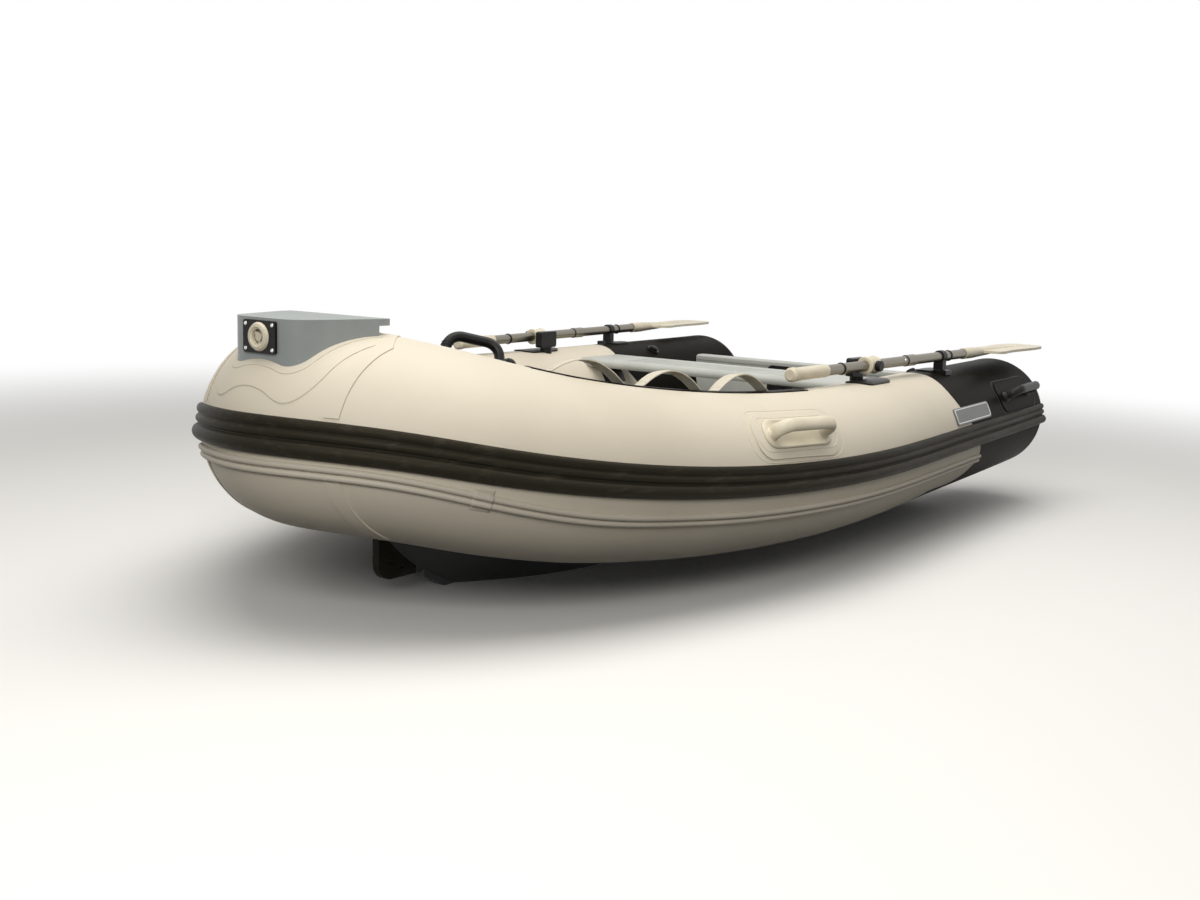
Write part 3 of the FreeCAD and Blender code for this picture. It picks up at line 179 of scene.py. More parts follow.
FLOOR_HALF = 40.0
SHADOW_NEAR = 2.4
SHADOW_FAR = 6.0
FLOOR_COLOUR = (0.86, 0.86, 0.85)
WHITE = (1.0, 1.0, 1.0, 1.0)
FLOOR_BOUNCE = (0.07, 0.07, 0.07)
floor_finish = Finish("floor_matt", Roughness=1.0, Specular_IOR_Level=0.0)
floor_finish.set("Base Color", (*FLOOR_COLOUR, 1.0))
floor_x, floor_y = floor_finish.axes()[:2]
far = (floor_x * floor_x + floor_y * floor_y).root().fade(SHADOW_NEAR, SHADOW_FAR)
rays = floor_finish.node("ShaderNodeLightPath", {}, {}, "Is Camera Ray").socket.node.outputs
seen = Wire(floor_finish, rays["Is Camera Ray"]).most(Wire(floor_finish, rays["Is Glossy Ray"]))
seen = seen.most(Wire(floor_finish, rays["Is Transmission Ray"]))
white = floor_finish.node("ShaderNodeEmission", {}, {"Color": WHITE, "Strength": 1.0})
dull = floor_finish.node("ShaderNodeBsdfDiffuse", {}, {"Color": (*FLOOR_BOUNCE, 1.0)})
pale = floor_finish.node("ShaderNodeMixShader", {}, {
    0: far, 1: Wire(floor_finish, floor_finish.shader.outputs[0]), 2: white})
shown = floor_finish.node("ShaderNodeMixShader", {}, {0: seen, 1: dull, 2: pale})
floor_out = floor_finish.tree.nodes["Material Output"]
floor_finish.feed(floor_out.inputs["Surface"], shown)
floor_corners = [(x * FLOOR_HALF, y * FLOOR_HALF, 0) for x, y in ((-1, -1), (1, -1), (1, 1), (-1, 1))]
floor = put_mesh("floor", floor_corners, [(0, 1, 2, 3)], floor_finish, False)

STUDIO_LEVEL = 0.30
STUDIO_COLOUR = (1.0, 0.985, 0.955, 1.0)
LAMP_COLOUR = (1.0, 0.975, 0.93)
world = bpy.data.worlds.new("studio")
bpy.context.scene.world = world
world.use_nodes = True
sky = world.node_tree
ambient = sky.nodes["Background"]
ambient.inputs["Color"].default_value = STUDIO_COLOUR
ambient.inputs["Strength"].default_value = STUDIO_LEVEL
plain = sky.nodes.new("ShaderNodeBackground")
plain.inputs["Color"].default_value = WHITE
plain.inputs["Strength"].default_value = 1.0
path = sky.nodes.new("ShaderNodeLightPath")
either = sky.nodes.new("ShaderNodeMath")
either.operation = "MAXIMUM"
clear_too = sky.nodes.new("ShaderNodeMath")
clear_too.operation = "MAXIMUM"
choose = sky.nodes.new("ShaderNodeMixShader")
sky.links.new(path.outputs["Is Camera Ray"], either.inputs[0])
sky.links.new(path.outputs["Is Glossy Ray"], either.inputs[1])
sky.links.new(either.outputs[0], clear_too.inputs[0])
sky.links.new(path.outputs["Is Transmission Ray"], clear_too.inputs[1])
sky.links.new(clear_too.outputs[0], choose.inputs[0])
sky.links.new(ambient.outputs[0], choose.inputs[1])
sky.links.new(plain.outputs[0], choose.inputs[2])
sky.links.new(choose.outputs[0], sky.nodes["World Output"].inputs["Surface"])

# name, where it hangs, what it faces, width and depth, power
LAMPS = [
    ("lamp_ceiling", (0.4, 0.6, 4.2), (0.1, 0.0, 0.0), (5.0, 3.2), 158.0),
    ("lamp_front", (4.5, 2.2, 2.5), (1.0, 0.2, 0.4), (2.6, 1.6), 92.0),
]
for name, hung, faced, (wide, deep), power in LAMPS:
    data = bpy.data.lights.new(name, "AREA")
    data.shape = "RECTANGLE"
    data.size = wide
    data.size_y = deep
    data.energy = power
    data.color = LAMP_COLOUR
    lamp = bpy.data.objects.new(name, data)
    lamp.location = hung
    lamp.rotation_euler = (Vector(faced) - Vector(hung)).to_track_quat("-Z", "Y").to_euler()
    bpy.context.scene.collection.objects.link(lamp)


# Tube collar. Chambers of coated fabric, glued and welded from panels: warm
# light grey, with near-black sleeves over both stern ends.
def dress(finish, *names):
    """Give CAD nodes their finish."""
    for name in names:
        data = nodes[name].data
        data.materials.clear()
        data.materials.append(finish.material)


def coated_fabric(name, low, high, rough, gloss, glint=(1.0, 1.0, 1.0)):
    """Fabric skin: fine grain, faint cloud of handling marks, soft sheen."""
    finish = Finish(name, Specular_IOR_Level=gloss, Specular_Tint=(*glint, 1.0))
    cloud = finish.noise(1.7, 4.0)
    finish.set("Base Color", finish.mix(cloud.fade(0.3, 0.7), low, high))
    grain = finish.noise(900.0, 2.0)
    ripple = finish.noise(9.0, 2.0)
    finish.set("Roughness", rough + 0.12 * cloud + 0.05 * grain)
    finish.bump(grain + 0.6 * ripple, 0.22, 0.0006)
    return finish


LIGHT_LOW = (0.630, 0.575, 0.470)
LIGHT_HIGH = (0.700, 0.642, 0.530)
DARK_LOW = (0.0070, 0.0060, 0.0044)
DARK_HIGH = (0.0105, 0.0092, 0.0070)
WARM_GLINT = (1.0, 0.86, 0.64)
light_fabric = coated_fabric("light_fabric", LIGHT_LOW, LIGHT_HIGH, 0.42, 0.22)
dark_fabric = coated_fabric("dark_fabric", DARK_LOW, DARK_HIGH, 0.34, 0.02, WARM_GLINT)
dress(light_fabric, "tube_bow", "tube_port", "tube_starboard", "seam_bands", "bow_patches", "grab_pads")
dress(dark_fabric, "tube_port_aft", "tube_starboard_aft", "carry_pads", "wear_strips")

SEARCH_REACH = 0.15
BEAD_ARC = 6
BEAD_SINK_SHARE = 0.6
CORNER_STEPS = 6
LINE_GAP = 0.02
PLATE_CORNER_STEPS = 8
PLATE_GAP = 0.012
PLATE_SINK = 0.004

# Where the collar runs: x, y, z of the port tube's centre and its radius.
COLLAR_LINE = [
    (-1.495, 0.640, 0.330, 0.200), (-1.265, 0.642, 0.326, 0.202), (-0.965, 0.644, 0.322, 0.203),
    (-0.665, 0.647, 0.319, 0.205), (-0.365, 0.651, 0.315, 0.207), (-0.065, 0.651, 0.314, 0.209),
    (0.185, 0.629, 0.317, 0.212), (0.385, 0.590, 0.322, 0.215), (0.585, 0.535, 0.332, 0.220),
    (0.735, 0.484, 0.346, 0.224), (0.885, 0.427, 0.366, 0.228), (1.015, 0.361, 0.390, 0.233),
    (1.135, 0.271, 0.422, 0.236), (1.225, 0.174, 0.448, 0.239), (1.285, 0.092, 0.463, 0.241),
    (1.315, 0.039, 0.469, 0.242)]


def skin(*names):
    """Search tree over the faces of CAD nodes."""
    vertices = []
    faces = []
    for name in names:
        start = len(vertices)
        mesh = nodes[name].data
        vertices.extend(v.co.copy() for v in mesh.vertices)
        faces.extend([start + i for i in face.vertices] for face in mesh.polygons)
    return BVHTree.FromPolygons(vertices, faces)


def collar_section(x):
    """Centre, forward run and radius of the port tube at a distance along X."""
    line = COLLAR_LINE
    i = 1
    while i < len(line) - 2 and x > line[i + 1][0]:
        i += 1
    t = (x - line[i][0]) / (line[i + 1][0] - line[i][0])
    p = [Vector(line[max(min(i + k, len(line) - 1), 0)][:3]) for k in (-1, 0, 1, 2)]
    run = (p[2] - p[0]).normalized().lerp((p[3] - p[1]).normalized(), t).normalized()
    return p[1].lerp(p[2], t), run, line[i][3] + (line[i + 1][3] - line[i][3]) * t


def collar_spot(cover, x, angle, side):
    """Spot on the tubes at a distance along X and an angle up from level outboard."""
    centre, run, radius = collar_section(x)
    outboard = Vector((-run.y, run.x, 0)).normalized()
    out = outboard * math.cos(math.radians(angle)) + run.cross(outboard) * math.sin(math.radians(angle))
    start = centre + out * (radius + SEARCH_REACH)
    if side < 0:
        start.y = -start.y
        out.y = -out.y
        run.y = -run.y
    spot = cover.ray_cast(start, -out)[0]
    return spot if spot is not None else start - out * SEARCH_REACH, out, run


def bead_run(trail, wide, high, closed):
    """Half-round bead laid along a trail of spots and outward directions."""
    vertices = []
    for i, (spot, out) in enumerate(trail):
        ahead = trail[(i + 1) % len(trail)][0] if closed or i < len(trail) - 1 else spot
        back = trail[i - 1][0] if closed or i else spot
        across_bead = out.cross((ahead - back).normalized()).normalized()
        for k in range(BEAD_ARC + 1):
            turn = math.pi * k / BEAD_ARC
            vertices.append(spot + across_bead * (wide / 2 * math.cos(turn)) + out * (high * math.sin(turn)))
        vertices.append(spot - out * high * BEAD_SINK_SHARE)
    ring = BEAD_ARC + 2
    faces = []
    for i in range(len(trail) if closed else len(trail) - 1):
        a = i * ring
        b = ((i + 1) % len(trail)) * ring
        faces.extend((a + k, a + (k + 1) % ring, b + (k + 1) % ring, b + k) for k in range(ring))
    if not closed:
        faces.append(tuple(range(ring)))
        faces.append(tuple(reversed(range(len(vertices) - ring, len(vertices)))))
    return vertices, faces


def joined(runs):
    """Several lots of vertices and faces as one."""
    vertices = []
    faces = []
    for more, their_faces in runs:
        start = len(vertices)
        vertices.extend(more)
        faces.extend(tuple(start + i for i in face) for face in their_faces)
    return vertices, faces


def rounded_edge(long, high, corner, steps):
    """Closed outline of a rounded oblong about the middle, as (along, around)."""
    outline = []
    for quarter, (sx, sy) in enumerate(((1, 1), (-1, 1), (-1, -1), (1, -1))):
        for k in range(steps + 1):
            turn = math.pi / 2 * (quarter + k / steps)
            outline.append((sx * (long / 2 - corner) + corner * math.cos(turn),
                            sy * (high / 2 - corner) + corner * math.sin(turn)))
    return outline


def spaced(outline, gap):
    """The same closed outline with points no further apart than the gap."""
    out = []
    for a, b in zip(outline, outline[1:] + outline[:1]):
        parts = max(1, math.ceil(math.dist(a, b) / gap))
        for k in range(parts):
            out.append((a[0] + (b[0] - a[0]) * k / parts, a[1] + (b[1] - a[1]) * k / parts))
    return out


def laid(cover, x, angle, side, along, around):
    """Spot on the tubes, offset along and around from a place given by station and angle."""
    centre, run, radius = collar_section(x)
    return collar_spot(cover, x + along * run.x, angle + math.degrees(around / radius), side)


def edge_line(cover, x, angle, side, long, high, corner, wide, proud):
    """Bead round a rounded oblong that lies on the tubes."""
    outline = spaced(rounded_edge(long, high, corner, CORNER_STEPS), LINE_GAP)
    trail = [laid(cover, x, angle, side, u, v)[:2] for u, v in outline]
    return bead_run(trail, wide, proud, True)


def plate_on(cover, x, angle, side, long, high, corner, shape):
    """Moulded plate on the tubes. Its shape is shares outward with their heights."""
    outline = spaced(rounded_edge(long, high, corner, PLATE_CORNER_STEPS), PLATE_GAP)
    count = len(outline)
    spot, out, run = laid(cover, x, angle, side, 0, 0)
    vertices = [spot + out * shape[0][1]]
    for share, height in shape[1:]:
        for u, v in outline:
            spot, out, run = laid(cover, x, angle, side, u * share, v * share)
            vertices.append(spot + out * height)
    faces = [(0, 1 + k, 1 + (k + 1) % count) for k in range(count)]
    for row in range(len(shape) - 2):
        a = 1 + row * count
        b = a + count
        faces.extend((a + k, b + k, b + (k + 1) % count, a + (k + 1) % count) for k in range(count))
    middle = len(vertices)
    spot, out, run = laid(cover, x, angle, side, 0, 0)
    vertices.append(spot - out * PLATE_SINK)
    last = 1 + (len(shape) - 2) * count
    faces.extend((last + (k + 1) % count, last + k, middle) for k in range(count))
    return vertices, faces


# Glue lines: the thin raised edge of each doubling patch and pad.
GLUE_WIDE = 0.0035
GLUE_PROUD = 0.0008
GRAB_X = 0.325
GRAB_ANGLE = 35.5
STERN_GRIP_X = -1.26
STERN_GRIP_ANGLE = 31.0
# length, height and corner of each line round a pad
GRAB_LINES = [(0.306, 0.098, 0.038), (0.366, 0.154, 0.062)]
STERN_LINES = [(0.374, 0.130, 0.050)]
PADDED = ("tube_port", "tube_starboard", "tube_port_aft", "tube_starboard_aft", "tube_bow", "grab_pads",
          "carry_pads", "seam_bands", "bow_patches", "wear_strips")
tubes = skin(*PADDED)
lines = []
dark_lines = []
for side in (1, -1):
    for shape in GRAB_LINES:
        lines.append(edge_line(tubes, GRAB_X, GRAB_ANGLE, side, *shape, GLUE_WIDE, GLUE_PROUD))
    for shape in STERN_LINES:
        dark_lines.append(edge_line(tubes, STERN_GRIP_X, STERN_GRIP_ANGLE, side, *shape,
                                    GLUE_WIDE, GLUE_PROUD))
glue_lines = put_mesh("glue_lines", *joined(lines), light_fabric)
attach(glue_lines, "boat")
# The glue lines on the dark sleeves are coloured lighter than the sleeve: a painted highlight along each
# bead.
GLUE_HIGHLIGHT_LOW = (0.0300, 0.0275, 0.0225)
GLUE_HIGHLIGHT_HIGH = (0.0480, 0.0440, 0.0370)
glue_edge_highlight = coated_fabric("glue_edge_highlight", GLUE_HIGHLIGHT_LOW, GLUE_HIGHLIGHT_HIGH, 0.40, 0.22)
sleeve_lines = put_mesh("sleeve_glue_lines", *joined(dark_lines), glue_edge_highlight)
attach(sleeve_lines, "boat")

# Rub strake, one heavy black extrusion glued all round the collar at its
# widest, with two small ribs over a fat bead. Rubbed grey where it is proud.
RUB_BLACK = (0.0160, 0.0142, 0.0098)
RUB_GREY = (0.0350, 0.0315, 0.0235)
rub_rubber = Finish("rub_rubber", Specular_IOR_Level=0.12, Specular_Tint=(*WARM_GLINT, 1.0))
scuff = rub_rubber.noise(26.0, 5.0, (0.25, 1.0, 2.2), 0.6)
rub_rubber.set("Base Color", rub_rubber.mix(scuff.fade(0.52, 0.72), RUB_BLACK, RUB_GREY))
rub_rubber.set("Roughness", 0.34 + 0.3 * scuff)
rub_rubber.bump(rub_rubber.noise(420.0, 3.0), 0.18, 0.0008)
dress(rub_rubber, "rub_strake", "stem_lug")

# Splash strake, a double bead in the light colour lower down the side.
SPLASH_LOW = (0.500, 0.458, 0.380)
SPLASH_HIGH = (0.590, 0.542, 0.455)
splash_rubber = coated_fabric("splash_rubber", SPLASH_LOW, SPLASH_HIGH, 0.40, 0.22)
dress(splash_rubber, "splash_strake")
JOINT_X = 1.107
JOINT_ANGLE = -16.8
JOINT_LONG = 0.040
JOINT_HIGH = 0.056
JOINT_THICK = 0.0016
JOINT_COLUMNS = 12
JOINT_ROWS = 32
RIM_LIFT = 0.0002
UNDER_DEPTH = 0.0015
beaded = skin("tube_port", "tube_starboard", "tube_bow", "splash_strake")


def wrapped(cover, x, angle, side, long, high, thick, columns, rows):
    """Thin sheet pulled down over whatever it covers, point by point."""
    top = []
    under = []
    for j in range(rows + 1):
        for i in range(columns + 1):
            along = long * (i / columns - 0.5)
            around = high * (j / rows - 0.5)
            spot, out, run = laid(cover, x, angle, side, along, around)
            rim = i in (0, columns) or j in (0, rows)
            top.append(spot + out * (RIM_LIFT if rim else thick))
            under.append(spot - out * UNDER_DEPTH)
    wide = columns + 1
    many = len(top)
    faces = []
    for j in range(rows):
        for i in range(columns):
            a = j * wide + i
            faces.append((a, a + 1, a + wide + 1, a + wide))
            faces.append((many + a, many + a + wide, many + a + wide + 1, many + a + 1))
    border = list(range(wide))
    border += [j * wide + columns for j in range(1, rows + 1)]
    border += [rows * wide + i for i in range(columns - 1, -1, -1)]
    border += [j * wide for j in range(rows - 1, 0, -1)]
    for a, b in zip(border, border[1:] + border[:1]):
        faces.append((b, a, many + a, many + b))
    return top + under, faces


covers = [wrapped(beaded, JOINT_X, JOINT_ANGLE, side, JOINT_LONG, JOINT_HIGH, JOINT_THICK,
                  JOINT_COLUMNS, JOINT_ROWS) for side in (1, -1)]
strake_joint = put_mesh("strake_joint", *joined(covers), splash_rubber)
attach(strake_joint, "boat")

# Hull, moulded in one with its keel bar, closed by the deck and the transom board.
# Its dark grey is painted shade over the hull's own grey: it is coloured as dark as it looks in the shade
# under the tubes.
HULL_SHADED_LOW = (0.058, 0.062, 0.062)
HULL_SHADED_HIGH = (0.082, 0.086, 0.086)
hull_paint = Finish("hull_paint", Specular_IOR_Level=0.5, Coat_Roughness=0.18)
speck = hull_paint.noise(240.0, 2.0)
soil = hull_paint.noise(5.0, 5.0, (1.0, 1.0, 3.0), 0.65)
hull_paint.set("Base Color", hull_paint.mix(soil.fade(0.35, 0.7), HULL_SHADED_LOW, HULL_SHADED_HIGH))
hull_paint.set("Roughness", 0.30 + 0.22 * soil)
hull_paint.set("Coat Weight", 0.25 * (1.0 - soil))
hull_paint.bump(speck, 0.10, 0.0004)
dress(hull_paint, "hull")


# Boards and mouldings inside: transom, deck, locker, thwart and bow step in
# blue-grey gel coat, stippled against slipping on their level tops.
def gel_coat(name, low, high, stipple):
    """Gel coat with a soft coat on top; level tops are stippled by the given share."""
    finish = Finish(name, Specular_IOR_Level=0.5, Coat_Roughness=0.15)
    cloud = finish.noise(4.0, 4.0, None, 0.6)
    finish.set("Base Color", finish.mix(cloud.fade(0.3, 0.7), low, high))
    faced = finish.node("ShaderNodeNewGeometry", {}, {}, "Normal")
    upright_part = finish.node("ShaderNodeSeparateXYZ", {}, {0: faced}, 2)
    level_top = upright_part.above(0.92)
    dots = finish.node("ShaderNodeTexVoronoi", {"feature": "F1"}, {"Vector": finish.place, "Scale": 210.0})
    stippled = (1.0 - dots.fade(0.0, 0.6)) * level_top * stipple
    finish.set("Roughness", 0.28 + 0.14 * cloud + 0.22 * level_top * stipple)
    finish.bump(stippled + 0.12 * finish.noise(60.0, 3.0), 0.35, 0.0008)
    return finish


STEP_LOW = (0.265, 0.290, 0.285)
STEP_HIGH = (0.315, 0.342, 0.335)
BOARD_LOW = (0.430, 0.445, 0.415)
BOARD_HIGH = (0.500, 0.512, 0.480)
DECK_LOW = (0.175, 0.182, 0.184)
DECK_HIGH = (0.225, 0.232, 0.234)
step_gel = gel_coat("step_gel", STEP_LOW, STEP_HIGH, 1.0)
board_gel = gel_coat("board_gel", BOARD_LOW, BOARD_HIGH, 0.4)
deck_gel = gel_coat("deck_gel", DECK_LOW, DECK_HIGH, 1.0)
dress(step_gel, "bow_step", "locker_hatch")
dress(board_gel, "transom", "thwart")
dress(deck_gel, "deck", "bow_locker")

# Oars. Two-part tubes of brushed, clear-anodised metal, with moulded cream
# blades, grips and collars, and black moulded clips and swivels.
METAL_LOW = (0.185, 0.168, 0.136)
METAL_HIGH = (0.300, 0.275, 0.228)
oar_metal = Finish("oar_metal", Metallic=1.0)
drawn = oar_metal.noise(60.0, 4.0, (0.12, 14.0, 14.0), 0.6)
oar_metal.set("Base Color", oar_metal.mix(drawn, METAL_LOW, METAL_HIGH))
oar_metal.set("Roughness", 0.24 + 0.2 * drawn)
oar_metal.bump(drawn, 0.10, 0.0003)


def moulded(name, low, high, rough, grain_depth, gloss=0.45):
    """Moulded plastic: faint flow marks and a fine spark-eroded grain."""
    finish = Finish(name, Specular_IOR_Level=gloss)
    flow = finish.noise(14.0, 3.0, (1.0, 2.0, 2.0))
    finish.set("Base Color", finish.mix(flow.fade(0.3, 0.7), low, high))
    finish.set("Roughness", rough + 0.12 * flow)
    finish.bump(finish.noise(650.0, 2.0), 0.25, grain_depth)
    return finish


CREAM_LOW = (0.640, 0.580, 0.445)
CREAM_HIGH = (0.720, 0.660, 0.520)
BLACK_LOW = (0.0070, 0.0068, 0.0064)
BLACK_HIGH = (0.0130, 0.0126, 0.0118)
BADGE_LOW = (0.120, 0.124, 0.120)
BADGE_HIGH = (0.150, 0.153, 0.148)
cream_plastic = moulded("cream_plastic", CREAM_LOW, CREAM_HIGH, 0.34, 0.0003)
black_plastic = moulded("black_plastic", BLACK_LOW, BLACK_HIGH, 0.30, 0.0004, 0.20)
badge_grey = moulded("badge_grey", BADGE_LOW, BADGE_HIGH, 0.30, 0.0002)
for side in ("port", "starboard"):
    dress(oar_metal, f"oar_{side}_shaft")
    dress(cream_plastic, f"oar_{side}_blade", f"oar_{side}_grip", f"oar_{side}_collar")
    dress(black_plastic, f"oar_{side}_clip", f"oar_{side}_swivel")
dress(cream_plastic, "grab_handles", "bow_fairlead")
dress(black_plastic, "carry_handles", "oar_rests", "rowlock_bases", "thwart_brackets", "motor_pads",
      "fairlead_frame", "air_valves")
dress(badge_grey, "badge_plates")

# Polished steel fittings: lifting eyes on the transom and the hatch hinges.
STEEL_LOW = (0.48, 0.48, 0.47)
STEEL_HIGH = (0.62, 0.62, 0.61)
steel = Finish("polished_steel", Metallic=1.0)
haze = steel.noise(35.0, 4.0)
steel.set("Base Color", steel.mix(haze, STEEL_LOW, STEEL_HIGH))
steel.set("Roughness", 0.16 + 0.2 * haze)
dress(steel, "lifting_eyes", "locker_hinge_pins")

# Hand straps of woven cream webbing, sewn down on the dark wear strips.
WEBBING_LOW = (0.600, 0.555, 0.450)
WEBBING_HIGH = (0.760, 0.715, 0.600)
webbing = Finish("cream_webbing", Specular_IOR_Level=0.25)
weave = webbing.node("ShaderNodeTexWave", {"wave_type": "BANDS", "bands_direction": "DIAGONAL"},
                     {"Vector": webbing.place, "Scale": 190.0, "Distortion": 0.6})
dust = webbing.noise(22.0, 4.0)
webbing.set("Base Color", webbing.mix(0.35 * weave + 0.5 * dust, WEBBING_LOW, WEBBING_HIGH))
webbing.set("Roughness", 0.72 + 0.15 * dust)
webbing.bump(weave, 0.5, 0.0006)
dress(webbing, "hand_straps")


# Sewing. Each strap end is stitched down thread by thread: a row along each
# edge of the strap and two rows across it.
def turned(shape, count):
    """Part turned about Z from (radius, height) pairs, first and last on the axis."""
    vertices = [(0.0, 0.0, shape[0][1])]
    turns = [2 * math.pi * k / count for k in range(count)]
    for radius, height in shape[1:-1]:
        vertices.extend((radius * math.cos(turn), radius * math.sin(turn), height) for turn in turns)
    vertices.append((0.0, 0.0, shape[-1][1]))
    faces = [(0, 1 + k, 1 + (k + 1) % count) for k in range(count)]
    rows = len(shape) - 2
    for row in range(rows - 1):
        a = 1 + row * count
        b = a + count
        faces.extend((a + k, b + k, b + (k + 1) % count, a + (k + 1) % count) for k in range(count))
    last = 1 + (rows - 1) * count
    faces.extend((last + k, len(vertices) - 1, last + (k + 1) % count) for k in range(count))
    return vertices, faces


def repeat(name, piece, spots, size, finish, body):
    """Set one small piece at each spot, its Z outward and its X along the run."""
    single = put_mesh(name + "_single", *piece, finish)
    mesh = bpy.data.meshes.new(name + "_spots")
    mesh.from_pydata([tuple(spot) for spot, out, run in spots], [], [])
    for label, which in (("outward", 1), ("runs", 2)):
        held = mesh.attributes.new(label, "FLOAT_VECTOR", "POINT")
        held.data.foreach_set("vector", [v for row in spots for v in row[which]])
    carrier = bpy.data.objects.new(name + "_spots", mesh)
    bpy.context.scene.collection.objects.link(carrier)
    tree = bpy.data.node_groups.new(name + "_layout", "GeometryNodeTree")
    face = tree.interface
    face.new_socket("Geometry", in_out="INPUT", socket_type="NodeSocketGeometry")
    inputs = [("Piece", "NodeSocketObject", single), ("Size", "NodeSocketFloat", size),
              ("Finish", "NodeSocketMaterial", finish.material)]
    keys = []
    for label, kind, value in inputs:
        keys.append(face.new_socket(label, in_out="INPUT", socket_type=kind).identifier)
    face.new_socket("Geometry", in_out="OUTPUT", socket_type="NodeSocketGeometry")

    def add(kind, **settings):
        made = tree.nodes.new(kind)
        for label, value in settings.items():
            setattr(made, label, value)
        return made

    given = add("NodeGroupInput")
    result = add("NodeGroupOutput")
    info = add("GeometryNodeObjectInfo")
    place = add("GeometryNodeInstanceOnPoints")
    outward = add("GeometryNodeInputNamedAttribute", data_type="FLOAT_VECTOR")
    outward.inputs["Name"].default_value = "outward"
    runs = add("GeometryNodeInputNamedAttribute", data_type="FLOAT_VECTOR")
    runs.inputs["Name"].default_value = "runs"
    stand = add("FunctionNodeAlignRotationToVector", axis="Z")
    swing = add("FunctionNodeAlignRotationToVector", axis="X", pivot_axis="Z")
    real = add("GeometryNodeRealizeInstances")
    coat = add("GeometryNodeSetMaterial")
    link = tree.links.new
    link(given.outputs["Piece"], info.inputs["Object"])
    link(given.outputs["Geometry"], place.inputs["Points"])
    link(info.outputs["Geometry"], place.inputs["Instance"])
    link(given.outputs["Size"], place.inputs["Scale"])
    link(outward.outputs["Attribute"], stand.inputs["Vector"])
    link(stand.outputs["Rotation"], swing.inputs["Rotation"])
    link(runs.outputs["Attribute"], swing.inputs["Vector"])
    link(swing.outputs["Rotation"], place.inputs["Rotation"])
    link(place.outputs["Instances"], real.inputs["Geometry"])
    link(real.outputs["Geometry"], coat.inputs["Geometry"])
    link(given.outputs["Finish"], coat.inputs["Material"])
    link(coat.outputs["Geometry"], result.inputs["Geometry"])
    layout = carrier.modifiers.new("layout", "NODES")
    layout.node_group = tree
    for key, (label, kind, value) in zip(keys, inputs):
        layout[key] = value
    seen_now = bpy.context.evaluated_depsgraph_get()
    solid = bpy.data.meshes.new_from_object(carrier.evaluated_get(seen_now))
    for old in (carrier, single):
        bpy.data.objects.remove(old)
    made = bpy.data.objects.new(name, solid)
    bpy.context.scene.collection.objects.link(made)
    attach(made, body)
    return made


THREAD = 0.0007
STITCH = 0.0042
THREAD_LOW = (0.420, 0.380, 0.300)
THREAD_HIGH = (0.560, 0.510, 0.410)
STRAP_ENDS = [(0.995, 0.743), (0.718, 0.486), (0.456, 0.219)]
STRAP_AT = 97.0
SEWN_INSET = 0.003
SEAM_HALF = 0.014
SEAM_STITCHES = 5
SEAM_START = 0.004
SEAM_PITCH = 0.0052
CROSS_ROWS = (0.003, 0.026)
CROSS_STITCHES = 6
CROSS_START = -0.0115
CROSS_PITCH = 0.0046
strap_skin = skin("hand_straps")
thread = Finish("sewing_thread", Roughness=0.6, Specular_IOR_Level=0.3)
twist = thread.noise(1500.0, 2.0)
thread.set("Base Color", thread.mix(twist, THREAD_LOW, THREAD_HIGH))
stitches = []
for side in (1, -1):
    for fore, aft in STRAP_ENDS:
        for end, step in ((fore - SEWN_INSET, -1), (aft + SEWN_INSET, 1)):
            for row in (-SEAM_HALF, SEAM_HALF):
                for k in range(SEAM_STITCHES):
                    x = end + step * (SEAM_START + SEAM_PITCH * k)
                    stitches.append(laid(strap_skin, x, STRAP_AT, side, 0, row))
            for along in CROSS_ROWS:
                for k in range(CROSS_STITCHES):
                    across_strap = CROSS_START + CROSS_PITCH * k
                    spot, out, run = laid(strap_skin, end + step * along, STRAP_AT, side, 0, across_strap)
                    stitches.append((spot, out, out.cross(run)))
strand = [(0.0, -STITCH / 2), (THREAD * 0.8, -STITCH * 0.4), (THREAD, 0.0),
          (THREAD * 0.8, STITCH * 0.4), (0.0, STITCH / 2)]
strand_vertices, strand_faces = turned(strand, 6)
strand_vertices = [(z, x, y) for x, y, z in strand_vertices]
repeat("strap_stitches", (strand_vertices, strand_faces), stitches, 1.0, thread, "boat")


# Screws: small domed steel heads with a round recess, on the fairlead frame
# and the motor pads.
def pan_head(radius):
    return turned([(0.0, radius * 0.20), (radius * 0.38, radius * 0.20), (radius * 0.42, radius * 0.52),
                   (radius * 0.62, radius * 0.50), (radius * 0.88, radius * 0.34), (radius, radius * 0.10),
                   (radius, -radius * 0.35), (0.0, -radius * 0.35)], 18)


def facing(place, out, run=(0.0, 0.0, 1.0)):
    """A spot for a small piece, with the way it faces and the way it runs."""
    return Vector(place), Vector(out), Vector(run)


SCREW_RADIUS = 0.0048
FRAME_FACE = 1.504
FRAME_SCREWS = [(-0.044, 0.665), (-0.044, 0.721), (0.044, 0.665), (0.044, 0.721)]
PAD_FACES = ((-1.205, -1), (-1.136, 1))
PAD_COLUMNS = (-0.095, 0.0, 0.095)
PAD_ROWS = (0.294, 0.444)
screws = [facing((FRAME_FACE, y, z), (1, 0, 0)) for y, z in FRAME_SCREWS]
for x, out in PAD_FACES:
    for y in PAD_COLUMNS:
        for z in PAD_ROWS:
            screws.append(facing((x, y, z), (out, 0, 0)))
repeat("fixing_screws", pan_head(SCREW_RADIUS), screws, 1.0, steel, "boat")


# Grab handles: a moulded plate under each bar with a raised rim, bonded on
# the light pad, and ribs round the foot of every carrying handle.
def ring_round(cover, centre, axis, reach, wide, high, count=28):
    """Bead that hugs a bar, at a place on its axis."""
    first = axis.orthogonal().normalized()
    second = axis.cross(first)
    trail = []
    for k in range(count):
        turn = 2 * math.pi * k / count
        out = first * math.cos(turn) + second * math.sin(turn)
        hit = cover.ray_cast(centre + out * reach, -out)[0]
        if hit is not None:
            trail.append((hit, out))
    return bead_run(trail, wide, high, True)


PLATE_LONG = 0.262
PLATE_HIGH = 0.084
PLATE_CORNER = 0.036
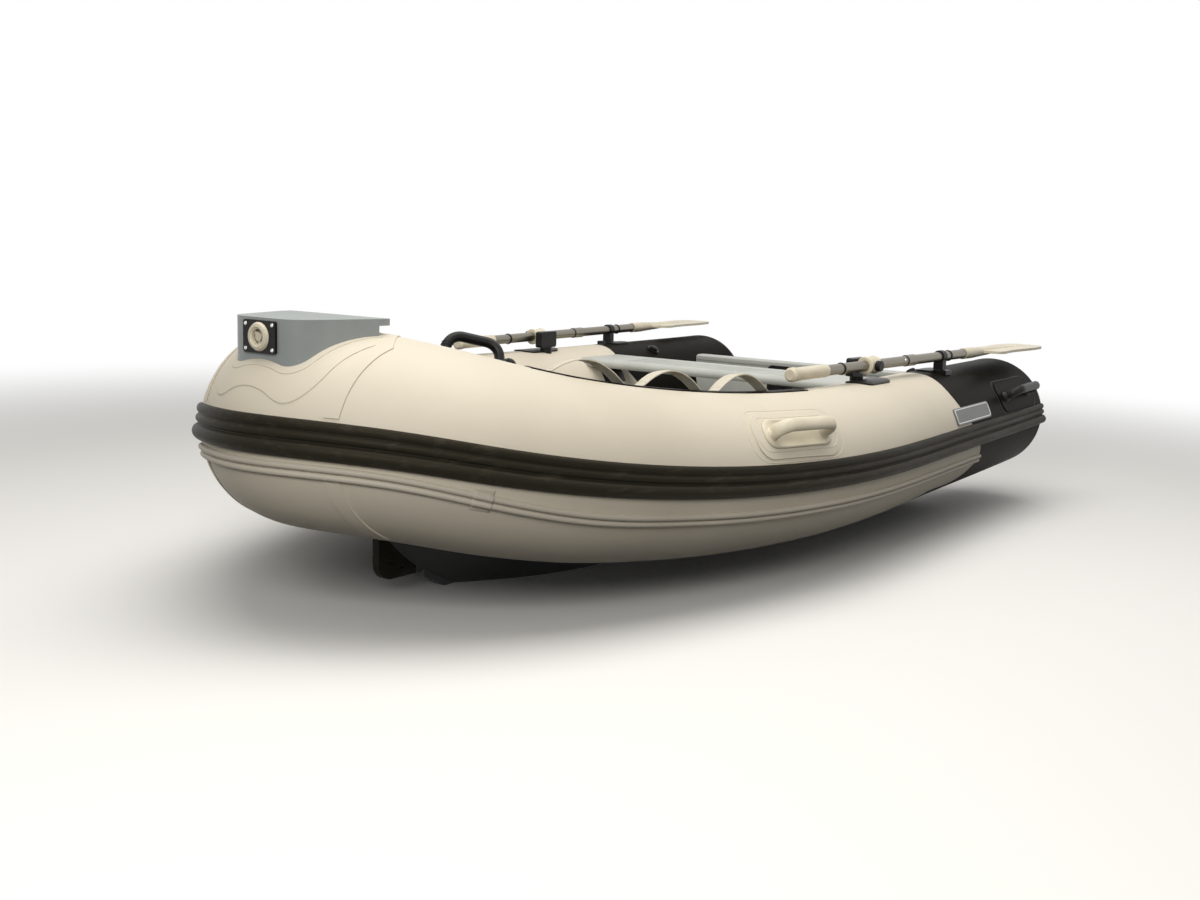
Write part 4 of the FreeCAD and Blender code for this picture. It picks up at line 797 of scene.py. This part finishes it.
# shares outward with the plate's height there, over a raised rim to its edge
PLATE_SHAPE = [(0.0, 0.0030), (0.45, 0.0030), (0.80, 0.0030), (0.86, 0.0052), (0.95, 0.0052), (1.0, -0.0004)]
plates = [plate_on(tubes, GRAB_X, GRAB_ANGLE, side, PLATE_LONG, PLATE_HIGH, PLATE_CORNER, PLATE_SHAPE)
          for side in (1, -1)]
handle_plates = put_mesh("handle_plates", *joined(plates), cream_plastic)
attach(handle_plates, "boat")

# station, angle and length of each carrying handle
CARRY_HANDLES = [(STERN_GRIP_X, STERN_GRIP_ANGLE, 0.250), (1.135, 116.0, 0.160)]
CARRY_ROD = 0.0125
FOOT_LIFTS = (0.012, 0.019, 0.026)
FOOT_REACH = 0.06
FOOT_RIB_WIDE = 0.0032
FOOT_RIB_PROUD = 0.0016
bars = skin("carry_handles")
ribs_round = []
for side in (1, -1):
    for x, angle, long in CARRY_HANDLES:
        foot, out, run = laid(tubes, x, angle, side, long / 2 - CARRY_ROD, 0)
        for lift in FOOT_LIFTS:
            middle = foot + out * lift
            ribs_round.append(ring_round(bars, middle, out, FOOT_REACH, FOOT_RIB_WIDE, FOOT_RIB_PROUD))
foot_ribs = put_mesh("handle_ribs", *joined(ribs_round), black_plastic)
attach(foot_ribs, "boat")

# Badge: a bright rim pressed round the blank plate.
BADGE_X = -0.785
BADGE_ANGLE = 23.8
RIM_LONG = 0.306
RIM_HIGH = 0.044
RIM_CORNER = 0.010
RIM_WIDE = 0.0040
RIM_PROUD = 0.0012
BRIGHT_LOW = (0.52, 0.52, 0.50)
BRIGHT_HIGH = (0.66, 0.66, 0.64)
badges = skin("badge_plates")
bright = Finish("badge_rim", Metallic=1.0, Roughness=0.32)
rubbed = bright.noise(90.0, 3.0)
bright.set("Base Color", bright.mix(rubbed, BRIGHT_LOW, BRIGHT_HIGH))
rims = [edge_line(badges, BADGE_X, BADGE_ANGLE, side, RIM_LONG, RIM_HIGH, RIM_CORNER, RIM_WIDE, RIM_PROUD)
        for side in (1, -1)]
badge_rims = put_mesh("badge_rims", *joined(rims), bright)
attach(badge_rims, "boat")

# Oar fittings. Each shaft has a ring moulded at its joint and a sprung
# button beside it. The grips are plain moulded sleeves.
OAR_AT = Vector((-0.352, 0.652, 0.572))
OAR_TOE_IN = math.radians(3.6)
OAR_DIP = math.radians(0.3)
OAR_RUN = Vector((math.cos(OAR_TOE_IN), -math.sin(OAR_TOE_IN), -math.sin(OAR_DIP))).normalized()
RING_REACH = 0.05
# how far along the shaft, width and height of each ring
SHAFT_RINGS = [(-0.301, 0.0060, 0.0020), (-0.239, 0.0060, 0.0020),
               (-0.560, 0.0100, 0.0030), (0.180, 0.0100, 0.0030)]
BUTTON_AT = -0.215
BUTTON_TILT = 0.35
BUTTON_REACH = 0.08
BUTTON = [(0.0, 0.0034), (0.0022, 0.0030), (0.0038, 0.0016), (0.0044, -0.0006),
          (0.0044, -0.0022), (0.0, -0.0022)]
for side, word in ((1, "port"), (-1, "starboard")):
    axis = Vector((OAR_RUN.x, side * OAR_RUN.y, OAR_RUN.z))
    root = Vector((OAR_AT.x, side * OAR_AT.y, OAR_AT.z))
    shaft_skin = skin(f"oar_{word}_shaft")
    rings = []
    for at, wide, high in SHAFT_RINGS:
        rings.append(ring_round(shaft_skin, root + axis * at, axis, RING_REACH, wide, high))
    joint_rings = put_mesh(f"oar_{word}_rings", *joined(rings), black_plastic)
    outboard = Vector((0.0, side, BUTTON_TILT)).normalized()
    spot = shaft_skin.ray_cast(root + axis * BUTTON_AT + outboard * BUTTON_REACH, -outboard)[0]
    repeat(f"oar_{word}_button", turned(BUTTON, 20), [(spot, outboard, axis)], 1.0, steel,
           f"oar_{word}")
    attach(joint_rings, f"oar_{word}")

# Transom trim: a pale extrusion pushed over the board's top edge, and a
# drain socket low on its aft face.
TRIM_HALF = 0.448
TRIM_TOP = 0.476
TRIM_AFT = -1.1945
TRIM_FORE = -1.1465
TRIM_SKIRT = 0.016
TRIM_WALL = 0.0030
TRIM_SHOULDER = 0.004
TRIM_CROWN = TRIM_WALL * 1.6
TRIM_ROUND = 0.0014
profile = [(TRIM_AFT - TRIM_WALL, TRIM_TOP - TRIM_SKIRT), (TRIM_AFT - TRIM_WALL, TRIM_TOP),
           (TRIM_AFT + TRIM_SHOULDER, TRIM_TOP + TRIM_CROWN),
           (TRIM_FORE - TRIM_SHOULDER, TRIM_TOP + TRIM_CROWN),
           (TRIM_FORE + TRIM_WALL, TRIM_TOP), (TRIM_FORE + TRIM_WALL, TRIM_TOP - TRIM_SKIRT)]
trim_vertices = [(x, y, z) for y in (-TRIM_HALF, TRIM_HALF) for x, z in profile]
corners = len(profile)
trim_faces = [(k, (k + 1) % corners, corners + (k + 1) % corners, corners + k) for k in range(corners)]
trim_faces += [tuple(range(corners)), tuple(reversed(range(corners, 2 * corners)))]
trim = put_mesh("transom_trim", trim_vertices, trim_faces, board_gel)
soften = trim.modifiers.new("soft_edges", "BEVEL")
soften.width = TRIM_ROUND
soften.segments = 3
soften.limit_method = "ANGLE"
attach(trim, "boat")
DRAIN_AT = (-1.193, 0.16, 0.205)
socket_shape = turned([(0.0, 0.0015), (0.0085, 0.0015), (0.0095, 0.0060), (0.0150, 0.0060), (0.0180, 0.0035),
                       (0.0240, 0.0025), (0.0240, -0.0020), (0.0, -0.0020)], 32)
repeat("drain_socket", socket_shape, [facing(DRAIN_AT, (-1, 0, 0))], 1.0, black_plastic,
       "boat")

# Air valves: a cap with moulded lugs to turn it by, on each valve body.
VALVE_STATIONS = (-0.965, -0.065)
VALVE_ANGLE = 120.0
LUG_COUNT = 8
LUG_CIRCLE = 0.0115
LUG_LIFT = 0.0015
valve_skin = skin("air_valves")
caps = []
for side in (1, -1):
    for x in VALVE_STATIONS:
        caps.append(laid(valve_skin, x, VALVE_ANGLE, side, 0, 0))
cap_shape = turned([(0.0, 0.0040), (0.0050, 0.0040), (0.0064, 0.0028), (0.0105, 0.0028), (0.0125, 0.0018),
                    (0.0130, -0.0010), (0.0, -0.0010)], 24)
repeat("valve_caps", cap_shape, caps, 1.0, black_plastic, "boat")
lugs = []
for spot, out, run in caps:
    first = out.orthogonal().normalized()
    second = out.cross(first)
    for k in range(LUG_COUNT):
        turn = 2 * math.pi * k / LUG_COUNT
        reach = first * math.cos(turn) + second * math.sin(turn)
        lugs.append((spot + reach * LUG_CIRCLE + out * LUG_LIFT, out, reach))
lug = turned([(0.0, 0.0016), (0.0014, 0.0013), (0.0019, 0.0), (0.0019, -0.0016), (0.0, -0.0016)], 10)
repeat("valve_lugs", lug, lugs, 1.0, black_plastic, "boat")

# Thwart and locker: pressed ribs along the seat, a bead round the hatch and a
# round turn latch at its aft edge.
SEAT_RIBS = (-0.520, -0.552, -0.584, -0.616, -0.648)
SEAT_RIB_HALF = 0.36
SEAT_RIB_STEPS = 24
SEAT_RIB_WIDE = 0.008
SEAT_RIB_PROUD = 0.0018
OVER_SEAT = 0.62
DOWN = Vector((0, 0, -1))
seat_skin = skin("thwart")
seat_beads = []
for x in SEAT_RIBS:
    trail = []
    for k in range(SEAT_RIB_STEPS + 1):
        y = SEAT_RIB_HALF * (2 * k / SEAT_RIB_STEPS - 1)
        hit = seat_skin.ray_cast(Vector((x, y, OVER_SEAT)), DOWN)[0]
        if hit is not None:
            trail.append((hit, -DOWN))
    seat_beads.append(bead_run(trail, SEAT_RIB_WIDE, SEAT_RIB_PROUD, False))
seat_ribs = put_mesh("seat_ribs", *joined(seat_beads), board_gel)
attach(seat_ribs, "boat")
low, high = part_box("locker_hatch")
HATCH_LONG = 0.160
HATCH_WIDE = 0.180
HATCH_CORNER = 0.016
HATCH_SHIFT = -0.006
HATCH_BEAD_WIDE = 0.006
HATCH_BEAD_PROUD = 0.0016
middle_x = (low[0] + high[0]) / 2 + HATCH_SHIFT
hatch_outline = spaced(rounded_edge(HATCH_LONG, HATCH_WIDE, HATCH_CORNER, CORNER_STEPS), LINE_GAP)
hatch_trail = [(Vector((middle_x + along, around, high[2])), -DOWN) for along, around in hatch_outline]
bead = bead_run(hatch_trail, HATCH_BEAD_WIDE, HATCH_BEAD_PROUD, True)
hatch_bead = put_mesh("hatch_bead", *bead, step_gel)
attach(hatch_bead, "locker_hatch")
LATCH_INSET = 0.030
latch = turned([(0.0, 0.0030), (0.0042, 0.0030), (0.0050, 0.0044), (0.0140, 0.0044), (0.0170, 0.0024),
                (0.0172, -0.0012), (0.0, -0.0012)], 28)
latch_spot = facing((low[0] + LATCH_INSET, 0.0, high[2]), (0, 0, 1), (1, 0, 0))
repeat("hatch_latch", latch, [latch_spot], 1.0, black_plastic, "locker_hatch")
